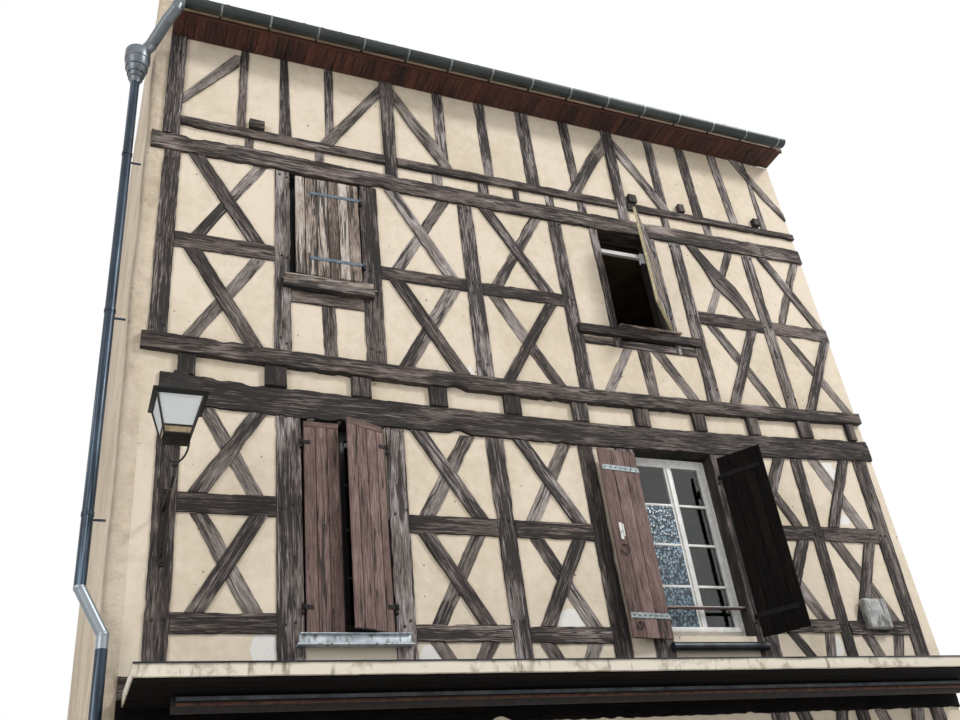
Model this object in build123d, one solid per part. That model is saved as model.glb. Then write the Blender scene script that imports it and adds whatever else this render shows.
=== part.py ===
from build123d import *
import os
from math import cos, radians, tan

os.makedirs("parts", exist_ok=True)

# Half timbered town house. Sizes in millimetres, X along the street front from
# the viewer's left to right, Y into the house, Z up, origin on the ground at
# the middle of the footprint. Facade distances are measured from the left face
# on a front drawn eight metres wide, and stretch with the width of the house.

# Footprint and walls
house_width = 8000
house_depth = 8000
drawn_width = 8000
wall_thickness = 180
left_wall_left = 220
left_wall_thickness = 395
left_lining_thickness = 165
right_wall_thickness = 250
left_face = -house_width / 2
front_face = -house_depth / 2
rear_face = house_depth / 2
frame_left = left_wall_thickness
frame_right = drawn_width

# How far each kind of timber stands proud of the plaster
post_proud = 14
stud_proud = 10
rail_proud = 18
through_proud = 20
cut_proud = 5
plate_proud = 30
sill_beam_proud = 65
girt_proud = 32
thin_rail_proud = 40
joist_proud = 45

# Levels above the ground
plinth_height = 350
door_head = 2450
ground_plate_bottom = 3080
first_sill_bottom = 3300
first_sill_top = 3460
first_posts_top = 5800
joists_low = 5700
second_storey_low = 6150
attic_low = 8450
girt_middle = 8500
stubs_low = 8550
studs_low = 8700
short_stud_level = 8800
tall_stud_level = 9200
eaves_level = 10000
floor_thickness = 200
ground_floor_level = 120
first_floor_level = 3500
second_floor_level = 6130
attic_floor_level = 8700

# Beams of the front, as bottom left, bottom right, bottom sag, top left, top right, top sag
top_plate_line = (5640, 5675, 92, 5920, 5915, 97)
second_sill_line = (6125, 6120, 100, 6285, 6245, 77)
girt_line = (8395, 8387, 33, 8603, 8597, 33)
thin_rail_line = (8738, 8765, 20, 8847, 8843, 4)
top_plate_left = 520
second_sill_left = 350
girt_left = 285
girt_scarf = 7410
scarf_slant = 35
scarf_gap = 2

# Full posts of each front storey: foot left, foot right, head left, head right
ground_corner = (435, 610, 435, 610)
ground_posts = [
    ground_corner,
    (1380, 1560, 1380, 1560),
    (2480, 2650, 2480, 2650),
    (3300, 3470, 3300, 3470),
    (5780, 5970, 5780, 5970),
    (6725, 6870, 6725, 6870),
    (7620, 7790, 7620, 7790),
]
first_posts = [
    (535, 710, 535, 717),
    (1480, 1690, 1475, 1682),
    (2405, 2575, 2433, 2600),
    (3410, 3570, 3375, 3560),
    (4335, 4510, 4332, 4485),
    (4740, 4935, 4740, 4935),
    (5840, 6075, 5840, 6075),
    (6830, 6955, 6862, 7012),
    (7680, 7850, 7720, 7912),
]
second_posts = [
    (400, 555, 405, 565),
    (1460, 1615, 1465, 1605),
    (2300, 2490, 2315, 2500),
    (3385, 3560, 3400, 3560),
    (4485, 4645, 4475, 4630),
    (6005, 6175, 6050, 6200),
    (7045, 7200, 7080, 7225),
]
attic_posts = [
    (378, 542, 393, 557),
    (2620, 2750, 2622, 2780),
    (5440, 5565, 5458, 5605),
]

# Studs of the attic band, between the thin rail and the soffit
attic_studs = [
    (1080, 1160, 1100, 1190),
    (1505, 1640, 1520, 1600),
    (1990, 2075, 2000, 2100),
    (3230, 3360, 3255, 3380),
    (3790, 3895, 3770, 3905),
    (4303, 4462, 4300, 4465),
    (4895, 5000, 4865, 5003),
    (6045, 6165, 6075, 6200),
    (6537, 6677, 6537, 6677),
    (7088, 7200, 7028, 7158),
    (7537, 7633, 7575, 7620),
]
attic_stubs = [
    (1165, 1255), (1880, 1970), (3150, 3260), (3680, 3800), (4100, 4170),
    (4500, 4600), (4910, 5015), (6030, 6130), (6630, 6735),
]

# Rails: left, right, bottom, top
ground_rails = [
    (610, 1380, 1500, 1640),
    (5970, 6725, 1500, 1640),
    (6870, 7620, 1500, 1640),
    (2650, 3300, 1500, 1640),
    (1560, 2480, door_head, door_head + 160),
    (3470, 5780, door_head, door_head + 200),
    (3470, 5780, 700, 850),
]
first_rails = [
    (700, 1490, 4690, 4860),
    (700, 1490, 3755, 3912),
    (2570, 3400, 4605, 4765),
    (2570, 3400, 3700, 3835),
    (3550, 4350, 4605, 4765),
    (3550, 4350, 3685, 3825),
    (6060, 6860, 4703, 4855),
    (6060, 6860, 3785, 3912),
    (6950, 7730, 4708, 4865),
    (6950, 7730, 3765, 3900),
]
second_rails = [
    (550, 1470, 7240, 7417),
    (2485, 3400, 7215, 7365),
    (3550, 4490, 7200, 7350),
    (6170, 7070, 7235, 7402),
    (7195, 8000, 7232, 7402),
    (1600, 2310, 6800, 6930),
    (4640, 6020, 6770, 6860),
]

# Saint Andrew's crosses: bay left, bay right, bottom, top, then for the
# falling brace its gap to the left post at the head, its gap to the right
# post at the foot and its width, then for the rising brace its gap to the
# left post at the foot, its gap to the right post at the head and its
# width, and last which of the two runs through.
first_crosses = [
    (715, 1478, 4860, 5635, 105, 95, 140, 75, 60, 150, "rising"),
    (715, 1478, 3912, 4690, 95, 100, 143, 93, 65, 145, "rising"),
    (2595, 3385, 4765, 5580, 60, 70, 152, 85, 95, 152, "falling"),
    (2595, 3385, 3835, 4605, 60, 110, 145, 115, 115, 138, "falling"),
    (3565, 4335, 4765, 5565, 90, 45, 150, 110, 65, 140, "falling"),
    (3565, 4335, 3825, 4605, 115, 75, 152, 100, 90, 148, "rising"),
    (6075, 6855, 4855, 5625, 150, 80, 135, 125, 60, 145, "rising"),
    (6075, 6855, 3912, 4703, 115, 95, 150, 105, 75, 140, "rising"),
    (7000, 7715, 4865, 5640, 90, 82, 160, 85, 65, 140, "rising"),
    (7000, 7715, 3900, 4708, 50, 75, 165, 80, 80, 140, "rising"),
]
second_crosses = [
    (560, 1460, 7417, 8380, 80, 90, 155, 140, 75, 125, "falling"),
    (560, 1460, 6265, 7240, 85, 95, 157, 95, 70, 135, "falling"),
    (2500, 3390, 7365, 8355, 100, 90, 145, 105, 85, 130, "falling"),
    (2500, 3390, 6200, 7215, 70, 65, 158, 80, 70, 160, "falling"),
    (3560, 4480, 7350, 8355, 90, 95, 147, 110, 90, 138, "falling"),
    (3560, 4480, 6195, 7200, 55, 130, 155, 75, 90, 130, "rising"),
    (6190, 7050, 6230, 7235, 75, 65, 150, 95, 100, 130, "rising"),
    (7205, 8000, 7402, 8387, 95, 20, 132, 100, 55, 120, "falling"),
    (7205, 8000, 6240, 7232, 70, 0, 145, 95, 0, 130, "rising"),
]
crooked_bay = (6200, 7070, 7402, 8385)
crooked_rising = (120, 105, 105)
crooked_falling = [
    (6280, 8385), (6425, 8100), (6467, 8000), (6530, 7810), (6730, 7600), (6850, 7402),
    (6995, 7402), (6930, 7620), (6830, 7833), (6608, 8095), (6410, 8385),
]

# Legs that run down behind the canopy below the lowest rails, feet first
leg_foot_level = first_sill_top
first_legs = [
    (2850, 2970, 2680, 2820, 3700),
    (3005, 3125, 3130, 3290, 3700),
    (3760, 3900, 3640, 3790, 3685),
    (3985, 4110, 4090, 4240, 3685),
    (6430, 6540, 6200, 6320, 3785),
    (6570, 6670, 6640, 6760, 3785),
    (7210, 7340, 7080, 7230, 3765),
    (7370, 7490, 7480, 7620, 3765),
]

# Braces and stud below the right window of the second floor
apron_braces = [
    (4720, 4840, 5100, 5210),
    (5290, 5410, 5265, 5420),
    (5820, 5950, 5440, 5600),
]
apron_top = 6770
left_apron_stud = (1910, 2035, 1900, 2035)
left_apron_top = 6800

# Braces of the attic band, each outline following the bent timber
attic_braces = [
    [(540, 9030), (540, 9170), (1040, 9900), (1100, 9900), (1090, 9745)],
    [(1905, 8840), (2055, 8840), (2625, 9750), (2625, 9930)],
    [(2775, 9700), (2775, 9930), (3008, 9540), (3250, 9200), (3400, 8840), (3275, 8840), (2920, 9400)],
    [(4805, 8840), (4965, 8840), (5300, 9400), (5462, 9630), (5462, 9890), (5180, 9480)],
    [(5590, 9640), (5590, 9925), (5800, 9583), (6008, 9217), (6205, 8840), (6060, 8840), (5790, 9333)],
    [(7375, 10000), (7500, 10000), (7990, 9200), (7990, 9080), (7742, 9383)],
]
attic_joist_ends = [
    (1200, 1350, 8850, 8965), (5607, 5710, 8850, 8965),
    (6297, 6375, 8850, 8965), (7408, 7500, 8875, 8975),
]

# Joist ends of the second floor
joist_spans = [
    (655, 800), (1375, 1565), (2137, 2317), (2870, 3040), (3610, 3780), (4335, 4500),
    (5030, 5200), (5730, 5880), (6415, 6550), (7090, 7260), (7765, 7870),
]

# Window openings of the front: left, right, bottom, top
first_left_window = (1690, 2405, 3750, 5580)
first_right_window = (4935, 5840, 3750, 5565)
second_left_window = (1610, 2305, 6930, 8365)
second_right_window = (5090, 5760, 6860, 8355)
jamb_left = (4995, 5090)
jamb_right = (5760, 5842)
transom_level = (8165, 8215)
window_depth = 135
frame_section = 52
frame_depth = 40
glass_thickness = 5
sash_section = 42
guard_rail_level = 4010
guard_rail_size = 30
guard_rail_set_back = 40

# Ground floor doorway and shop window
doorway = (1560, 2480, ground_floor_level, door_head)
shop_window = (3470, 5780, 850, door_head)
door_thickness = 45

# Canopy over the shop
canopy_left = 430
canopy_depth = 800
canopy_top = 3340
canopy_thickness = 88
cassette_left = 720
cassette_right = 7700
cassette_radius = 62
cassette_distance = 330

# Junction box: left, right, bottom, top
junction_box = (7145, 7430, 3804, 4101)
junction_box_depth = 100

# Shutters hang on pintles in front of the posts
leaf_thickness = 28
axis_distance = 46
axis_inset = 15
leaf_edge_gap = 24
leaf_face_gap = 12
strap_width = 42
strap_thickness = 6
eye_radius = 13
pin_radius = 6
pin_clearance = 1
pin_drop = 20
pin_rise = 8
strap_inset = 200
strap_reach = 0.86

# Roof
roof_pitch = 18
eaves_overhang = 330
deck_thickness = 80
tile_thickness = 70
tile_overhang = 60
soffit_thickness = 22
fascia_thickness = 28
fascia_drop = 10
parapet_rise = 260
gutter_radius = 70
gutter_wall = 4
gutter_distance = 432
gutter_left = 470
gutter_right = 7940
gutter_top = 10045
hook_spacing = 500
hook_start = 360
hook_reach = 8

# Rain pipe
pipe_radius = 42
bend_bead = 2
pipe_place = 90
pipe_distance = 95
pipe_foot = 250
clip_levels = [900, 2700, 4600, 6400, 8150]
neck_radius = 58
neck_level = 9985
offset_high = 4050
offset_low = 3720
pipe_offset = 180
stay_depth = 12
hopper_bottom = 9085
hopper_height = 432
hopper_radius = 120
hopper_wall = 7
hopper_steps = [
    (0, 0.37), (0.14, 0.5), (0.16, 0.56), (0.27, 0.63), (0.29, 0.69), (0.46, 0.81), (0.48, 0.87),
    (0.7, 0.95), (0.73, 1), (1, 1),
]

# Rear wall, regular
rear_post_count = 6
rear_post_width = 160
rear_brace_width = 140


def at(distance):
    """X of a place measured from the left face of the house"""
    return left_face + distance * house_width / drawn_width


def face_of(points):
    """Flat face from corner points given as distance and height"""
    return make_face(Polyline(*[(at(d), z) for d, z in points], close=True))


def leaning(foot_left, foot_right, head_left, head_right, bottom, top):
    """Outline of a post, stud or leg that leans or tapers"""
    return face_of([(foot_left, bottom), (foot_right, bottom), (head_right, top), (head_left, top)])


def block(left, right, bottom, top):
    """Upright rectangle"""
    return leaning(left, right, left, right, bottom, top)


def beam_face(left, right, line):
    """Beam outline whose bottom and top edges sag as flat arcs"""
    low_left, low_right, low_sag, high_left, high_right, high_sag = line
    middle = (at(left) + at(right)) / 2
    low_middle = (low_left + low_right) / 2 - low_sag
    high_middle = (high_left + high_right) / 2 - high_sag
    low = ThreePointArc((at(left), low_left), (middle, low_middle), (at(right), low_right))
    high = ThreePointArc((at(right), high_right), (middle, high_middle), (at(left), high_left))
    ends = [
        Line((at(right), low_right), (at(right), high_right)),
        Line((at(left), high_left), (at(left), low_left)),
    ]
    return make_face([low, ends[0], high, ends[1]])


def cross_faces(bay):
    """Falling and rising brace outlines of one Saint Andrew's cross"""
    left, right, bottom, top, head_gap, foot_gap, falling_width, rise_foot, rise_head, rising_width, _ = bay
    lean = (right - foot_gap - falling_width) - (left + head_gap)
    rise = (right - rise_head - rising_width) - (left + rise_foot)
    reach = 40 / (top - bottom)
    falling_head = left + head_gap - lean * reach
    falling_foot = left + head_gap + lean * (1 + reach)
    rising_foot = left + rise_foot - rise * reach
    rising_head = left + rise_foot + rise * (1 + reach)
    low = bottom - 40
    high = top + 40
    falling = leaning(falling_foot, falling_foot + falling_width,
                      falling_head, falling_head + falling_width, low, high)
    rising = leaning(rising_foot, rising_foot + rising_width,
                     rising_head, rising_head + rising_width, low, high)
    return falling, rising


def faces_without(shape, cutters):
    """Faces left of a flat shape after others are taken away"""
    left_over = shape
    for cutter in cutters:
        left_over = left_over - cutter
    return [face for face in left_over.faces() if face.area > 900]


def build_front(face, proud, back=wall_thickness):
    """Solid from a facade outline, from the inner side to so far proud of the plaster"""
    plane = Plane(origin=(0, front_face + back, 0), x_dir=(1, 0, 0), z_dir=(0, -1, 0))
    return extrude(plane * face, amount=back + proud)


def build_rear(face, proud, back=wall_thickness):
    """The same for the rear wall"""
    plane = Plane(origin=(0, rear_face - back, 0), x_dir=(1, 0, 0), z_dir=(0, -1, 0))
    return extrude(plane * face, amount=-(back + proud))


def box_between(x0, x1, y0, y1, z0, z1):
    """Solid box from its corner values"""
    centre = ((x0 + x1) / 2, (y0 + y1) / 2, (z0 + z1) / 2)
    return Pos(*centre) * Box(abs(x1 - x0), abs(y1 - y0), abs(z1 - z0))


def front_y(distance):
    """Y of a place so far in front of the plaster"""
    return front_face - distance


nodes = {}


def keep(name, solids):
    """Files one node, a single solid or several like ones"""
    nodes.setdefault(name, []).extend(solids)


# Front beams
top_plate = beam_face(top_plate_left, frame_right, top_plate_line)
second_sill = beam_face(second_sill_left, frame_right, second_sill_line)
girt_whole = beam_face(girt_left, frame_right, girt_line)
scarf = face_of([
    (girt_scarf, girt_middle - 150), (girt_scarf + scarf_gap, girt_middle - 150),
    (girt_scarf + scarf_gap - scarf_slant, girt_middle + 140), (girt_scarf - scarf_slant, girt_middle + 140),
])
thin_rail = beam_face(frame_left, frame_right, thin_rail_line)
first_sill = block(frame_left, frame_right, first_sill_bottom, first_sill_top)
ground_plate = block(frame_left, frame_right, ground_plate_bottom, first_sill_bottom)

# Timbers of the ground floor
ground_post_faces = [leaning(*post, plinth_height, ground_plate_bottom) for post in ground_posts]
ground_rail_faces = [block(*rail) for rail in ground_rails]
ground_crosses = [
    (610, 1380, plinth_height, 1500, 80, 80, 140, 80, 80, 140, "falling"),
    (610, 1380, 1640, ground_plate_bottom, 80, 80, 140, 80, 80, 140, "rising"),
    (2650, 3300, 1640, ground_plate_bottom, 60, 60, 135, 60, 60, 135, "falling"),
    (2650, 3300, plinth_height, 1500, 60, 60, 135, 60, 60, 135, "rising"),
    (5970, 6725, plinth_height, 1500, 80, 80, 140, 80, 80, 140, "rising"),
    (5970, 6725, 1640, ground_plate_bottom, 80, 80, 140, 80, 80, 140, "falling"),
    (6870, 7620, plinth_height, 1500, 80, 80, 140, 80, 80, 140, "falling"),
    (6870, 7620, 1640, ground_plate_bottom, 80, 80, 140, 80, 80, 140, "rising"),
]

# Each storey: rectangle, level timbers, posts, rails, crosses, odd braces and openings
storeys = {
    "ground": {
        "infill": "lower",
        "area": block(frame_left, frame_right, plinth_height, ground_plate_bottom),
        "beams": [ground_plate, block(0, drawn_width, 0, plinth_height)],
        "posts": ground_post_faces,
        "rails": ground_rail_faces,
        "crosses": ground_crosses,
        "braces": [],
        "openings": [block(doorway[0], doorway[1], 0, door_head), block(*shop_window)],
    },
    "first": {
        "infill": "lower",
        "area": block(frame_left, frame_right, first_sill_top, second_storey_low),
        "beams": [top_plate, second_sill],
        "posts": [leaning(*post, first_sill_top, first_posts_top) - top_plate for post in first_posts],
        "rails": [block(*rail) for rail in first_rails],
        "crosses": first_crosses,
        "braces": [leaning(*leg[:4], leg_foot_level, leg[4]) for leg in first_legs],
        "openings": [block(*first_left_window), block(*first_right_window)],
    },
    "second": {
        "infill": "upper",
        "area": block(frame_left, frame_right, second_storey_low, attic_low),
        "beams": [second_sill, girt_whole],
        "posts": [
            leaning(*post, second_storey_low, attic_low) - second_sill - girt_whole for post in second_posts
        ],
        "rails": [block(*rail) for rail in second_rails],
        "crosses": second_crosses,
        "braces": [leaning(*brace, second_storey_low, apron_top) for brace in apron_braces]
        + [leaning(*left_apron_stud, second_storey_low, left_apron_top)],
        "openings": [block(*second_left_window), block(*second_right_window)],
    },
}


def storey_timbers(storey):
    """Cuts each timber of a storey to its neighbours and returns the outlines by kind"""
    beams = storey["beams"]
    posts = storey["posts"]
    rails = []
    for rail in storey["rails"]:
        rails += faces_without(rail, posts + beams)
    through = []
    cut = []
    for bay in storey["crosses"]:
        falling, rising = cross_faces(bay)
        main, other = (falling, rising) if bay[-1] == "falling" else (rising, falling)
        main_faces = faces_without(main, posts + rails + beams)
        through += main_faces
        cut += faces_without(other, posts + rails + beams + main_faces)
    for brace in storey["braces"]:
        cut += faces_without(brace, posts + rails + beams)
    return posts, rails, through, cut


def jambs(bottom, top):
    """Narrow timbers beside the right window of the second floor"""
    return [block(*jamb_left, bottom, top), block(*jamb_right, bottom, top)]


for name, storey in storeys.items():
    if name == "second":
        window_jambs = []
        for jamb in jambs(apron_top, attic_low):
            window_jambs += faces_without(jamb, [girt_whole])
        storey["posts"] = storey["posts"] + window_jambs
    posts, rails, through, cut = storey_timbers(storey)
    if name == "second":
        crooked = face_of(crooked_falling)
        left, right, low, high = crooked_bay
        rise_foot, rise_head, rise_width = crooked_rising
        rising = leaning(left + rise_foot - 15, left + rise_foot - 15 + rise_width,
                         right - rise_head - rise_width + 15, right - rise_head + 15, low - 30, high + 30)
        crooked_cut = faces_without(crooked, posts + rails + [girt_whole])
        through += crooked_cut
        cut += faces_without(rising, posts + rails + [girt_whole] + crooked_cut)
    keep("front_posts", [build_front(face, post_proud) for post in posts for face in post.faces()])
    keep("front_rails", [build_front(face, rail_proud) for face in rails])
    keep("front_braces_through", [build_front(face, through_proud) for face in through])
    keep("front_braces_cut", [build_front(face, cut_proud) for face in cut])
    taken = posts + rails + through + cut + storey["beams"] + storey["openings"]
    if name == "first":
        ends = []
        for left, right in joist_spans:
            joist_end = block(left, right, joists_low, second_storey_low)
            ends += faces_without(joist_end, [top_plate, second_sill])
        keep("joist_ends", [build_front(face, joist_proud) for face in ends])
        taken = taken + ends
    panels = faces_without(storey["area"], taken)
    keep("front_infill_" + storey["infill"], [build_front(face, 0) for face in panels])

keep("ground_plate", [build_front(ground_plate, plate_proud)])
keep("first_floor_sill_beam", [build_front(first_sill, plate_proud)])
keep("first_floor_top_plate", [build_front(top_plate, plate_proud)])
keep("second_floor_sill_beam", [build_front(second_sill, sill_beam_proud)])
keep("attic_girt", [build_front(face, girt_proud) for face in faces_without(girt_whole, [scarf])])

# Attic band
attic_post_faces = []
for post in attic_posts:
    attic_post_faces += faces_without(leaning(*post, girt_middle, eaves_level), [girt_whole])
thin_rail_faces = faces_without(thin_rail, attic_post_faces)
brace_faces = []
for points in attic_braces:
    brace_faces += faces_without(face_of(points), attic_post_faces + thin_rail_faces)
stud_faces = []
for stud in attic_studs:
    pieces = faces_without(leaning(*stud, studs_low, eaves_level), thin_rail_faces + brace_faces)
    for piece in pieces:
        box = piece.bounding_box()
        if box.max.Y > tall_stud_level or box.min.Y > short_stud_level:
            stud_faces.append(piece)
for stub in attic_stubs:
    stud_faces += faces_without(block(*stub, stubs_low, short_stud_level), [girt_whole] + thin_rail_faces)
end_faces = []
for end in attic_joist_ends:
    end_faces += faces_without(block(*end), thin_rail_faces + attic_post_faces + stud_faces)
attic_area = block(frame_left, frame_right, attic_low, eaves_level)
attic_taken = [girt_whole] + attic_post_faces + thin_rail_faces + brace_faces + stud_faces + end_faces
keep("attic_studs", [build_front(face, girt_proud - 6) for face in attic_post_faces])
keep("attic_rail", [build_front(face, thin_rail_proud) for face in thin_rail_faces])
keep("attic_braces", [build_front(face, through_proud) for face in brace_faces])
keep("attic_studs", [build_front(face, stud_proud) for face in stud_faces])
keep("joist_ends", [build_front(face, joist_proud + 20) for face in end_faces])
keep("front_infill_upper", [build_front(face, 0) for face in faces_without(attic_area, attic_taken)])

# Plinths of dressed stone
front_plinth = block(frame_left, frame_right, 0, plinth_height)
front_notch = block(doorway[0], doorway[1], ground_floor_level, plinth_height)
keep("plinths", [build_front(front_plinth - front_notch, plate_proud)])

# Rear wall with regular bays
rear_left = left_wall_thickness
rear_right = drawn_width - right_wall_thickness
rear_step = (rear_right - rear_left - rear_post_width) / (rear_post_count - 1)
rear_posts_left = [rear_left + index * rear_step for index in range(rear_post_count)]
rear_levels = [
    (plinth_height, ground_plate_bottom),
    (first_sill_top, 5600),
    (6230, 8380),
    (8590, eaves_level),
]
rear_window_bays = {0: [3], 1: [1, 3], 2: [1, 3], 3: []}
rear_door_bay = 1
rear_sills = [1150, 4350, 7050]
rear_heads = [2450, 5450, 8150]
rear_beam_faces = [
    block(rear_left, rear_right, ground_plate_bottom, first_sill_top),
    block(rear_left, rear_right, 5600, 5800),
    block(rear_left, rear_right, 6030, 6230),
    block(rear_left, rear_right, 8380, 8590),
]
rear_openings = []
for floor, (low, high) in enumerate(rear_levels):
    post_faces = [block(left, left + rear_post_width, low, high) for left in rear_posts_left]
    keep("rear_posts", [build_rear(face, post_proud) for face in post_faces])
    rail_faces = []
    main_faces = []
    other_faces = []
    hole_faces = []
    for bay in range(rear_post_count - 1):
        bay_left = rear_posts_left[bay] + rear_post_width
        bay_right = rear_posts_left[bay + 1]
        if floor < 3 and bay in rear_window_bays[floor]:
            sill = rear_sills[floor]
            head = rear_heads[floor]
            rail_faces += [block(bay_left, bay_right, sill - 140, sill)]
            rail_faces += [block(bay_left, bay_right, head, head + 140)]
            hole_faces += [block(bay_left, bay_right, sill, head)]
            rear_openings.append((bay_left, bay_right, sill, head))
            continue
        if floor == 0 and bay == rear_door_bay:
            rail_faces += [block(bay_left, bay_right, 2250, 2400)]
            hole_faces += [block(bay_left, bay_right, low, 2250)]
            rear_door = (bay_left, bay_right, ground_floor_level, 2250)
            continue
        halves = [(low, high)]
        if floor < 3:
            middle = (low + high) / 2
            rail_faces += [block(bay_left, bay_right, middle - 75, middle + 75)]
            halves = [(low, middle - 75), (middle + 75, high)]
        for index, (bottom, top) in enumerate(halves):
            runs = "falling" if (bay + index) % 2 == 0 else "rising"
            cross = (bay_left, bay_right, bottom, top, 70, 70, rear_brace_width,
                     70, 70, rear_brace_width, runs)
            falling, rising = cross_faces(cross)
            main, other = (falling, rising) if runs == "falling" else (rising, falling)
            inside = block(bay_left, bay_right, bottom, top)
            main_faces += (main & inside).faces()
            other_faces += faces_without(other & inside, [main])
    area = block(rear_left, rear_right, low, high)
    taken = post_faces + rail_faces + main_faces + other_faces + hole_faces
    keep("rear_beams", [build_rear(face, rail_proud) for face in rail_faces])
    keep("rear_braces_through", [build_rear(face, through_proud) for face in main_faces])
    keep("rear_braces_cut", [build_rear(face, cut_proud) for face in other_faces])
    keep("rear_infill", [build_rear(face, 0) for face in faces_without(area, taken)])
joist_band = block(rear_left, rear_right, 5800, 6030)
rear_joists = [block(left + 10, left + 150, 5800, 6030) for left in rear_posts_left]
keep("joist_ends", [build_rear(face, joist_proud) for face in rear_joists])
keep("rear_infill", [build_rear(face, 0) for face in faces_without(joist_band, rear_joists)])
keep("rear_beams", [build_rear(face, plate_proud) for face in rear_beam_faces])
rear_plinth = block(rear_left, rear_right, 0, plinth_height)
rear_notch = block(rear_door[0], rear_door[1], ground_floor_level, plinth_height)
keep("plinths", [build_rear(rear_plinth - rear_notch, plate_proud)])

# Roof slopes
slope = tan(radians(roof_pitch))
half_depth = house_depth / 2
deck_reach = half_depth + eaves_overhang
deck_base = eaves_level + soffit_thickness
ridge_under = deck_base + (half_depth + eaves_overhang) * slope
rise = 1 / cos(radians(roof_pitch))
tile_reach = deck_reach + tile_overhang


def roof_profile(reach, lift, thickness, side):
    """Slab of a roof slope seen from the end, from the eaves to the ridge"""
    drop = (reach - deck_reach) * slope
    low = deck_base + lift * rise - drop
    top = ridge_under + lift * rise
    depth = thickness * rise
    points = [(side * reach, low), (0, top), (0, top + depth), (side * reach, low + depth)]
    return make_face(Polyline(*points, close=True))


def along_house(face, left, right):
    """Solid from an end profile, running along the street front"""
    plane = Plane(origin=(at(left), 0, 0), x_dir=(0, 1, 0), z_dir=(1, 0, 0))
    return extrude(plane * face, amount=at(right) - at(left))


roof_left = frame_left
for label, side in (("front", -1), ("rear", 1)):
    deck_profile = roof_profile(deck_reach, 0, deck_thickness, side)
    tile_profile = roof_profile(tile_reach, deck_thickness, tile_thickness, side)
    deck = along_house(deck_profile, roof_left, drawn_width)
    tiles = along_house(tile_profile, roof_left, drawn_width)
    keep("roof_deck_" + label, [deck])
    keep("roof_tiles_" + label, [tiles])
    fascia_back = side * (deck_reach - fascia_thickness)
    soffit = box_between(at(roof_left), at(drawn_width), side * half_depth, fascia_back,
                         eaves_level, deck_base)
    keep("soffits", [soffit])
    fascia = box_between(at(roof_left), at(drawn_width), fascia_back, side * deck_reach,
                         eaves_level - fascia_drop, deck_base)
    keep("fascias", [fascia])

# Wall plates carry the deck over the front and rear walls
for side in (-1, 1):
    inner = half_depth - wall_thickness
    plate = make_face(Polyline(
        (side * inner, eaves_level), (side * half_depth, eaves_level),
        (side * half_depth, deck_base + eaves_overhang * slope),
        (side * inner, deck_base + (eaves_overhang + wall_thickness) * slope), close=True))
    keep("wall_plates", [along_house(plate, frame_left, drawn_width - right_wall_thickness)])

# Party walls of rendered rubble, the left one with a lining behind the timber front
inner_left = left_wall_thickness + left_lining_thickness
roof_top = ridge_under + (deck_thickness + tile_thickness) * rise
parapet_low = deck_base + (deck_thickness + tile_thickness) * rise + eaves_overhang * slope + parapet_rise
parapet_high = roof_top + parapet_rise
left_profile = make_face(Polyline(
    (-half_depth, 0), (half_depth, 0), (half_depth, parapet_low), (0, parapet_high),
    (-half_depth, parapet_low), close=True))
left_wall = along_house(left_profile, left_wall_left, left_wall_thickness)
lining_profile = make_face(Polyline(
    (-half_depth + wall_thickness, 0), (half_depth - wall_thickness, 0),
    (half_depth - wall_thickness, deck_base + (eaves_overhang + wall_thickness) * slope), (0, ridge_under),
    (-half_depth + wall_thickness, deck_base + (eaves_overhang + wall_thickness) * slope), close=True))
left_wall = left_wall + along_house(lining_profile, left_wall_thickness, inner_left)
pockets = [
    build_front(block(girt_left, left_wall_thickness, 0, eaves_level) & girt_whole, girt_proud),
    build_front(block(second_sill_left, left_wall_thickness, 0, eaves_level) & second_sill, sill_beam_proud),
    build_front(leaning(*attic_posts[0], girt_middle, eaves_level) - girt_whole, girt_proud),
]
for pocket in pockets:
    left_wall = left_wall - pocket
keep("left_party_wall", [left_wall])
right_profile = make_face(Polyline(
    (-half_depth + wall_thickness, 0), (half_depth, 0),
    (half_depth, deck_base + eaves_overhang * slope), (0, ridge_under),
    (-half_depth + wall_thickness, deck_base + (eaves_overhang + wall_thickness) * slope), close=True))
keep("right_party_wall", [along_house(right_profile, drawn_width - right_wall_thickness, drawn_width)])

# Floors between the walls
inner_right = drawn_width - right_wall_thickness
inner_front = front_face + wall_thickness
inner_rear = rear_face - wall_thickness
keep("ground_floor", [
    box_between(at(inner_left), at(inner_right), inner_front, inner_rear, 0, ground_floor_level),
])
keep("upper_floors", [
    box_between(at(inner_left), at(inner_right), inner_front, inner_rear, level - floor_thickness, level)
    for level in (first_floor_level, second_floor_level, attic_floor_level)
])


def window_frame(opening, neighbours, place, bars):
    """Fixed frame in an opening, with its outer face so far behind the plaster"""
    left, right, bottom, top = opening
    inset = frame_section
    ring = block(left, right, bottom, top) - block(left + inset, right - inset, bottom + inset, top - inset)
    for bar_face in bars:
        ring = ring + bar_face
    for neighbour in neighbours:
        ring = ring - neighbour
    return place(ring, -window_depth, window_depth + frame_depth)


def casement(opening, part, count, place):
    """One sash of a window with count leaves, four members and the glass left to its own node"""
    left, right, bottom, top = opening
    inset = frame_section
    width = (right - left - 2 * inset) / count
    start = left + inset + part * width
    outer = block(start, start + width, bottom + inset, top - inset)
    hole = block(start + sash_section, start + width - sash_section,
                 bottom + inset + sash_section, top - inset - sash_section)
    return place(outer - hole, -window_depth + 8, window_depth + frame_depth - 6)


def pane(opening, part, count, place):
    """Glass of one sash"""
    left, right, bottom, top = opening
    inset = frame_section
    width = (right - left - 2 * inset) / count
    start = left + inset + part * width
    face = block(start + sash_section, start + width - sash_section,
                 bottom + inset + sash_section, top - inset - sash_section)
    return place(face, -window_depth - 8, window_depth + 8 + glass_thickness)


def slab_front(face, outer, depth):
    """Front solid whose outer side is at outer and whose inner side is depth behind the plaster"""
    return build_front(face, outer, depth)


def slab_rear(face, outer, depth):
    """The same for the rear wall"""
    return build_rear(face, outer, depth)


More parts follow.
